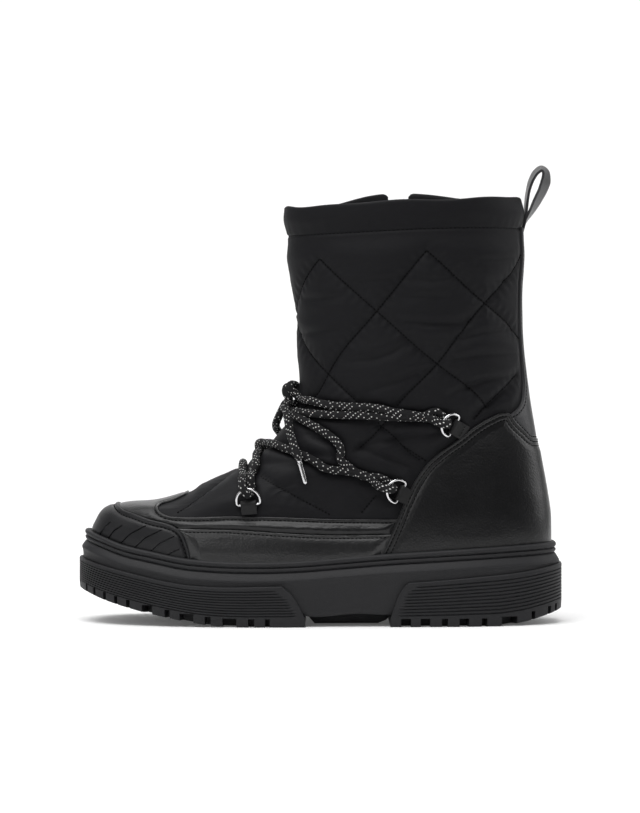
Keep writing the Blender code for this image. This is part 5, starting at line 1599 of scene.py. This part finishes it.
def lower_detail(points, gap):
    """Round bulge of the lower band between its stitches and the sole."""
    below = np.maximum(inside_distance(lower_outline, points) - LOWER_STITCH, 0.0)
    over = np.maximum(points[:, 2] - along(SOLE_TOP, points[:, 0]), 0.0)
    ends = np.maximum(inside_distance(guard_outline, points), inside_distance(counter_outline, points))
    bulge = LOWER_BULGE * np.sin(np.pi / 2.0 * below / (below + over + 0.01))
    return leather_swell(points, gap) + bulge * fade(0.0, 7.0, -ends)


LEATHER = leather_finish("black_leather", (0.0032, 0.0032, 0.0036, 1.0), (0.0048, 0.0048, 0.0054, 1.0),
                         0.27, 0.42, 950.0, 0.00022, 0.12)
GLOSSY_LEATHER = leather_finish("glossy_leather", (0.0034, 0.0034, 0.0038, 1.0), (0.005, 0.005, 0.0056, 1.0),
                                0.26, 0.38, 950.0, 0.0003, 0.55)
band_form, band_lines = overlay_form(np.linspace(-0.37, 0.37, 520), np.linspace(45.0, 86.0, 52),
                                     band_distance, BAND_HEIGHTS, [BAND_STITCH], band_detail)
add_piece("vamp_band_leather", band_form, LEATHER, ["vamp_band"])


def in_sight(lines, *outlines):
    """Parts of stitch lines that no later layer hides."""
    kept = []
    for points, normals in lines:
        covered = [inside_distance(outline, points) > -HIDDEN_MARGIN for outline in outlines]
        kept += shown_runs(points, normals, np.any(covered, axis=0))
    return kept


band_lines = in_sight(band_lines, guard_outline, counter_outline, lower_outline)
sew("band_stitches", band_lines, LEATHER_THREAD)
for side, first, last in (("lateral", 0.12, 0.43), ("medial", -0.12, -0.43)):
    lower_form, lower_lines = overlay_form(np.linspace(first, last, 300), np.linspace(38.0, 62.0, 40),
                                           lower_distance, LOWER_HEIGHTS, [LOWER_STITCH], lower_detail)
    add_piece("rand_lower_%s_leather" % side, lower_form, GLOSSY_LEATHER, ["rand_lower_" + side])
    lower_lines = in_sight(lower_lines, guard_outline, counter_outline)
    sew("rand_stitches_" + side, lower_lines, LEATHER_THREAD)

# Heel counter: a smooth leather cup round the heel, with a raised cut edge and two rows of stitching inside
# it. It lies over the ends of the bands and the foot of the back strip.
COUNTER_HEIGHTS = ((0.0, -0.6), (0.06, 1.5), (0.3, 2.0), (0.7, 2.1), (1.4, 2.0), (1.8, 1.7), (2.1, 1.55),
                   (2.5, 1.7), (3.1, 1.85), (3.9, 1.85), (4.3, 1.65), (4.6, 1.55), (5.0, 1.68), (5.8, 1.9),
                   (8.0, 2.2))
COUNTER_STITCHES = (2.1, 4.6)
counter_form, counter_lines = overlay_form(
    np.linspace(0.27, 0.73, 420), np.linspace(38.0, 132.0, 116),
    lambda points: inside_distance(counter_outline, points), COUNTER_HEIGHTS, COUNTER_STITCHES, leather_swell,
)
add_piece("heel_counter_leather", counter_form, LEATHER, ["heel_counter"])
sew("counter_stitches", counter_lines, LEATHER_THREAD)

# Back strip: a strip of greyer leather up the heel seam, sewn down both sides, with its foot under the
# counter and its top under the hem. The pull loop is cut from the same leather.
STRIP_HEIGHTS = ((0.0, -0.5), (0.06, 0.9), (0.4, 1.4), (1.0, 1.6), (2.0, 1.6), (2.4, 1.42), (2.7, 1.34),
                 (3.0, 1.42), (3.6, 1.64), (8.0, 1.8))
STRIP_STITCH = 2.7
STRIP_TOP_Z = 236.5
LOOP_HALF_WIDTH = 6.0
LOOP_THICKNESS = 1.5
LOOP_PATH = ((-120.4, 233.0), (-121.6, 238.0), (-122.8, 245.0), (-123.4, 252.0), (-124.5, 259.0),
             (-126.6, 265.6), (-129.8, 270.6), (-133.4, 272.6), (-136.1, 270.4), (-136.6, 266.0),
             (-134.9, 259.8), (-131.4, 252.6), (-127.6, 245.6), (-124.4, 240.4), (-121.8, 234.0))
LOOP_STEP = 0.8
LOOP_COLUMNS = 9
STRIP_TUCK = 1.6
LOOP_TWIST = ((0.0, 0.0), (0.3, 4.0), (0.5, 14.0), (0.62, 27.0), (0.78, 20.0), (0.92, 6.0), (1.0, 0.0))


def strip_inside(points):
    """Signed distance inside the strip, which ends just under the counter."""
    inside = np.minimum(strip_distance(points), STRIP_TOP_Z - points[..., 2])
    return np.minimum(inside, STRIP_TUCK - inside_distance(counter_outline, points))


STRIP_LEATHER = leather_finish("grey_black_leather", (0.018, 0.018, 0.020, 1.0), (0.028, 0.028, 0.030, 1.0),
                               0.32, 0.46, 1100.0, 0.00018, 0.1)
strip_form, strip_lines = overlay_form(np.linspace(0.395, 0.605, 150), np.linspace(84.0, 238.0, 150),
                                       strip_inside, STRIP_HEIGHTS, [STRIP_STITCH], leather_swell)
add_piece("back_strip_leather", strip_form, STRIP_LEATHER, ["back_strip"])
sew("strip_stitches", in_sight(strip_lines, counter_outline), LEATHER_THREAD)


def ribbon_form(points, sides, width, thickness, columns):
    """Flat strip along a path, with rounded edges; sides are unit vectors across it."""
    spread = np.linspace(-0.5, 0.5, columns)[None, :, None] * width
    made = grid_form(points[:, None, :] + sides[:, None, :] * spread)
    thicken(made, thickness)
    edges = [edge for edge in made.edges if edge.calc_face_angle(0.0) > 0.9]
    bevel_edges(made, edges, thickness * 0.3, 3)
    return made


loop_line = smooth_path([(x, 0.0, z) for x, z in LOOP_PATH], LOOP_STEP)
loop_way = unit(np.gradient(loop_line, axis=0))
loop_share = np.linspace(0.0, 1.0, len(loop_line))
loop_turn = np.radians(np.interp(loop_share, *np.array(LOOP_TWIST).T))[:, None]
loop_across = np.array((0.0, 1.0, 0.0))
loop_sides = np.cos(loop_turn) * loop_across + np.sin(loop_turn) * np.cross(loop_way, loop_across)
loop_form = ribbon_form(loop_line, loop_sides, 2.0 * LOOP_HALF_WIDTH, LOOP_THICKNESS, LOOP_COLUMNS)
add_piece("pull_loop_leather", loop_form, STRIP_LEATHER, ["pull_loop"])

# D-rings: bright plated wire, each held by a folded leather tab that is sewn to the upper. The lace passes
# over the bow of a ring, round inside it and back out under the bow.
TAB_THICKNESS = 0.9
TAB_HALF_WIDTH = 4.6
TAB_ROUND = 1.65
RING_CORNER = 1.2
RING_CORNER_CUT = 0.35
RING_BOW_STEPS = 24
WIRE_SIDES = 12
TAB_BEND = (-90.0, 126.0)
TAB_BEND_STEPS = 12
TAB_COLUMNS = 7
# Heights of the tab's two leaves over the upper, at its tail and half way to the bar
TAB_UNDER = (0.35, 0.6)
TAB_OVER = (1.35, 2.9)
TAB_SEAM_SHARE = 0.62
TAB_SEAM_LIFT = 3.3
TAB_SEAM_ASIDE = 3.6
TAB_SEAM_POINTS = 6
TAB_LEATHER = leather_finish("tab_leather", (0.003, 0.003, 0.0034, 1.0), (0.0045, 0.0045, 0.005, 1.0),
                             0.5, 0.62, 1000.0, 0.0002, 0.0)
SILVER = plated_finish("silver_metal", (0.64, 0.64, 0.65, 1.0), 0.14, 0.26, 0.2)


def tube_form(points, radius, sides, closed=False):
    """Round tube through points, with a UV map of turn and length; its radius may follow the points."""
    points = np.array(points, float)
    radius = np.broadcast_to(np.asarray(radius, float), (len(points),))
    ways = np.roll(points, -1, axis=0) - np.roll(points, 1, axis=0)
    if not closed:
        ways[0] = points[1] - points[0]
        ways[-1] = points[-1] - points[-2]
    ways = unit(ways)
    aside = np.cross(ways[0], np.eye(3)[np.abs(ways[0]).argmin()])
    rings = []
    for point, way, reach in zip(points, ways, radius):
        aside = unit(aside - way * aside.dot(way))
        beyond = np.cross(way, aside)
        angles = np.linspace(0.0, 2.0 * np.pi, sides + 1)[:, None]
        rings.append(point + reach * (np.cos(angles) * aside + np.sin(angles) * beyond))
    rings = np.array(rings)
    runs = run_lengths(points)
    if closed:
        rings = np.concatenate([rings, rings[:1]])
        runs = np.append(runs, runs[-1] + np.linalg.norm(points[0] - points[-1]))
    made = grid_form(rings)
    uv_layer = made.loops.layers.uv.new("UVMap")
    for face in made.faces:
        for corner in face.loops:
            row, column = divmod(corner.vert.index, sides + 1)
            corner[uv_layer].uv = (column / sides, runs[row])
    bmesh.ops.remove_doubles(made, verts=made.verts, dist=WELD)
    bmesh.ops.holes_fill(made, edges=[edge for edge in made.edges if edge.is_boundary], sides=0)
    bmesh.ops.recalc_face_normals(made, faces=made.faces)
    return made


tab_lines = []
for place in RING_PLACES:
    spot = ring_frames[place.name]
    tilt = spot @ Matrix.Translation((0.0, 0.0, BAR_LIFT * MM))
    tilt = tilt @ Matrix.Rotation(math.radians(RING_TILT), 4, "X")
    bend = [(RING_HALF_WIDTH - RING_CORNER, 0.0), (RING_HALF_WIDTH - RING_CORNER_CUT, RING_CORNER_CUT),
            (RING_HALF_WIDTH, RING_CORNER)]
    outline = [(-across, up) for across, up in bend[:1]] + bend
    for angle in np.linspace(0.0, math.pi, RING_BOW_STEPS + 1):
        outline.append((RING_HALF_WIDTH * math.cos(angle), RING_SHOULDER + RING_HALF_WIDTH * math.sin(angle)))
    outline += [(-across, up) for across, up in bend[:0:-1]]
    bent = [in_frame(tilt, across, up, 0.0) for across, up in outline]
    wire = tube_form(bent, RING_WIRE, WIRE_SIDES, closed=True)
    add_piece("d_ring_%s_wire" % place.name, wire, SILVER, ["d_ring_" + place.name])
    fold = [(-place.tail, TAB_UNDER[0]), (-place.tail * 0.5, TAB_UNDER[1])]
    for angle in np.radians(np.linspace(*TAB_BEND, TAB_BEND_STEPS + 1)):
        fold.append((TAB_ROUND * math.cos(angle), BAR_LIFT + TAB_ROUND * math.sin(angle)))
    fold += [(-place.tail * 0.5, TAB_OVER[1]), (-place.tail, TAB_OVER[0])]
    tab_path = np.array([in_frame(spot, 0.0, ahead, up) for ahead, up in fold])
    tab_side = np.tile(np.array(spot.to_3x3().col[0]), (len(tab_path), 1))
    tab_form = ribbon_form(tab_path, tab_side, 2.0 * TAB_HALF_WIDTH, TAB_THICKNESS, TAB_COLUMNS)
    add_piece("ring_tab_%s_fold" % place.name, tab_form, TAB_LEATHER, ["ring_tab_" + place.name])
    ends = [in_frame(spot, aside, -place.tail * TAB_SEAM_SHARE, TAB_SEAM_LIFT)
            for aside in (-TAB_SEAM_ASIDE, TAB_SEAM_ASIDE)]
    out = np.array(spot.to_3x3().col[2])
    tab_lines.append((np.linspace(*ends, TAB_SEAM_POINTS), np.tile(out, (TAB_SEAM_POINTS, 1))))
sew("tab_stitches", tab_lines, TAB_THREAD)

# Lace: a round braided cord, black with white flecks. It starts as a bar over the instep, crosses through the
# six rings and is tied in a knot at the front of the ankle; its two free ends hang from the knot.
LACE_SIDES = 16
LACE_STEP = 0.9
BRAID_STRANDS = 12.0
BRAID_PITCH = 1.25
OVER_LIFT = 4.5
STRAND_ASIDE = 2.5
KNOT_MIDDLE = np.array((16.45, 2.28, 136.76))
END_LIFT = 8.9
KNOT_STEP = 0.7
CROSSING_REACH = 8.0
CROSSING_MARGIN = 8
# Free ends and their tips in the side view: (x, z, height past the usual lift)
LATERAL_END = ((13.2, 125.6, 0.0), (12.9, 117.4, 0.0), (12.4, 108.4, 0.0), (11.2, 100.3, 0.0),
               (10.2, 94.1, -0.6))
LATERAL_TIP = ((10.1, 93.4, -0.8), (7.4, 79.4, -4.0))
# The front end starts off the upper, at points (x, y, z)
FRONT_START = ((21.2, -2.0, 130.2), (25.6, -6.0, 121.0))
FRONT_END = ((20.0, 112.0, 0.0), (17.0, 103.0, 0.4), (14.0, 94.0, 0.2), (12.6, 88.0, -0.8))
FRONT_TIP = ((12.4, 87.2, -1.0), (10.0, 73.4, -4.0))
# Knot: both strands wrapped round each other once and pulled tight against the shaft, from its middle
OUTER_ENTRY = ((-3.6, 6.2, -2.0), (-1.4, 4.4, 0.0))
INNER_ENTRY = ((-3.6, -6.2, -2.0), (-1.4, -4.4, 0.0))
OUTER_WRAP = ((-1.4, 4.4, 0.0), (1.8, 3.9, 3.4), (0.6, 0.2, 5.4), (-2.4, -2.6, 4.4), (-3.4, -2.2, -0.4),
              (-2.8, 1.0, -5.8), (0.9, 3.4, -6.2))
INNER_WRAP = ((-1.4, -4.4, 0.0), (1.6, -3.4, 3.4), (3.6, 0.4, 3.6), (3.9, 3.6, 0.2), (2.2, 3.6, -2.6),
              (2.6, -0.6, -4.2))
# Aglet: distance from its mouth and radius
AGLET_PROFILE = ((0.0, 1.0), (0.3, 1.55), (0.9, 1.6), (1.6, 1.42), (2.2, 1.6), (11.0, 1.5), (13.8, 1.35),
                 (14.6, 1.0), (15.0, 0.45))
AGLET_POINTS = 46
AGLET_SIDES = 14
AGLET_OVERLAP = 0.6
END_TAPER = 1.5
TAPER_POINTS = 4


def lace_finish():
    """Braid of strands that cross both ways round the cord, with white flecks at some of the crossings."""
    finish, place, shader = new_finish("flecked_braid", {"Roughness": 0.78, "Specular IOR Level": 0.3}, "UV")
    split = place.node("ShaderNodeSeparateXYZ", None, {"Vector": place})
    around = split * BRAID_STRANDS
    length = Shade(place.tree, split.socket.node.outputs[1]) / BRAID_PITCH
    right = around + length
    left = around - length
    right_strand = right.math("FLOOR", right)
    left_strand = left.math("FLOOR", left)
    right_white = place.math("COMPARE", place.math("FLOORED_MODULO", right_strand, 3.0), 0.0, 0.4)
    left_white = place.math("COMPARE", place.math("FLOORED_MODULO", left_strand, 2.0), 0.0, 0.4)
    cell = place.node("ShaderNodeCombineXYZ", None, {0: right_strand, 1: left_strand})
    worn = place.node("ShaderNodeTexWhiteNoise", {"noise_dimensions": "2D"}, {"Vector": cell})
    fleck = right_white * left_white * place.math("GREATER_THAN", worn, 0.3)
    swell = place.math("SINE", (right - right_strand) * math.pi)
    swell = swell * place.math("SINE", (left - left_strand) * math.pi)
    dot = place.node("ShaderNodeMath", {"operation": "MULTIPLY_ADD", "use_clamp": True},
                     {0: swell, 1: 2.6, 2: -0.3})
    tone = (fleck * dot).tone((0.006, 0.006, 0.007, 1.0), (0.8, 0.8, 0.79, 1.0))
    feed(shader, {"Base Color": tone, "Normal": swell.bump(0.9, 0.0006)})
    return finish


def ring_turn(name, first_aside, last_aside):
    """Points of the lace through a ring: in over the bow, round inside it and out under the bow."""
    line = ((first_aside, 14.2, 5.4), (first_aside * 0.85, 9.4, 9.0), (first_aside * 0.45, 6.3, 8.4),
            (0.0, 5.3, 6.2), (last_aside * 0.45, 6.3, 3.9), (last_aside * 0.85, 9.0, 3.0),
            (last_aside, 14.2, 2.9))
    return [in_frame(ring_frames[name], *point) for point in line]


def on_upper(name, first, last, under=None):
    """Points of the lace along a laid-out route, lifted where it crosses over another route."""
    route = lace_routes[name][first:last:2]
    lift = np.full(len(route), LACE_LIFT)
    if under is not None:
        other = form(*lace_routes[under].T)
        mine = form(route[:, 0], route[:, 1])
        apart = np.linalg.norm(mine[:, None] - other[None], axis=2)
        apart[:, :CROSSING_MARGIN] = np.inf
        apart[:, -CROSSING_MARGIN:] = np.inf
        crossing = mine[apart.min(axis=1).argmin()]
        away = np.linalg.norm(mine - crossing, axis=1)
        lift = lift + OVER_LIFT * np.exp(-(away / CROSSING_REACH) ** 2)
    return list(skin(route[:, 0], route[:, 1], lift))


bar_middle = len(lace_routes["bar"]) // 2
outer_lace = on_upper("bar", 4, bar_middle + 1)[::-1] + ring_turn("lateral_1", -STRAND_ASIDE, STRAND_ASIDE)
outer_lace += on_upper("low_out", 4, -4) + ring_turn("medial_2", STRAND_ASIDE, -STRAND_ASIDE)
outer_lace += on_upper("high_in", 4, -4) + ring_turn("lateral_3", -STRAND_ASIDE, STRAND_ASIDE)
outer_lace += on_upper("top_lateral", 4, -1) + list(KNOT_MIDDLE + OUTER_ENTRY)
inner_lace = on_upper("bar", bar_middle, -4) + ring_turn("medial_1", STRAND_ASIDE, -STRAND_ASIDE)
inner_lace += on_upper("low_in", 4, -4, "low_out") + ring_turn("lateral_2", -STRAND_ASIDE, STRAND_ASIDE)
inner_lace += on_upper("high_out", 4, -4, "high_in") + ring_turn("medial_3", STRAND_ASIDE, -STRAND_ASIDE)
inner_lace += on_upper("top_medial", 4, -1) + list(KNOT_MIDDLE + INNER_ENTRY)
LACE = lace_finish()
for name, route, nodes in (("lace_outer", outer_lace, ["lace_crossings"]), ("lace_inner", inner_lace, [])):
    lace_form = tube_form(smooth_path(route, LACE_STEP), LACE_RADIUS, LACE_SIDES)
    add_piece(name, lace_form, LACE, nodes)


def over_side(places, lateral):
    """Points over the upper at places (x, z, height past the usual lift) of the side view."""
    x, z, height = np.array(places).T
    spots = find_places(np.stack([x, z], axis=-1), lateral)
    return list(skin(spots[:, 0], spots[:, 1], END_LIFT + height))


lateral_end = over_side(LATERAL_END, True)
front_end = list(np.array(FRONT_START)) + over_side(FRONT_END, False)
for side, name, wrap, end, nodes in (
    ("lateral", "lace_knot_outer", OUTER_WRAP, lateral_end, ["lace_knot"]),
    ("front", "lace_knot_inner", INNER_WRAP, front_end, []),
):
    line = smooth_path(list(KNOT_MIDDLE + wrap) + [end[0]], KNOT_STEP)
    add_piece(name, tube_form(line, LACE_RADIUS, LACE_SIDES), LACE, nodes)
aglet_runs, aglet_reaches = np.array(AGLET_PROFILE).T
for side, end, tip in (
    ("lateral", lateral_end, over_side(LATERAL_TIP, True)),
    ("front", front_end, over_side(FRONT_TIP, False)),
):
    line = smooth_path(end, LACE_STEP)
    last = len(line) - 1
    taper = np.interp(np.arange(last + 1), [last - TAPER_POINTS, last], [LACE_RADIUS, END_TAPER])
    rope = add_piece("lace_end_%s_cord" % side, tube_form(line, taper, LACE_SIDES), LACE,
                     ["lace_end_" + side])
    way = unit(tip[1] - tip[0])
    places = np.linspace(0.0, aglet_runs[-1], AGLET_POINTS)
    aglet = tube_form(line[-1] + (places[:, None] - AGLET_OVERLAP) * way,
                      np.interp(places, aglet_runs, aglet_reaches), AGLET_SIDES)
    cap = add_piece("aglet_%s_metal" % side, aglet, SILVER, ["aglet_" + side], sharp=40.0)
    line[0] * MM
    line * MM
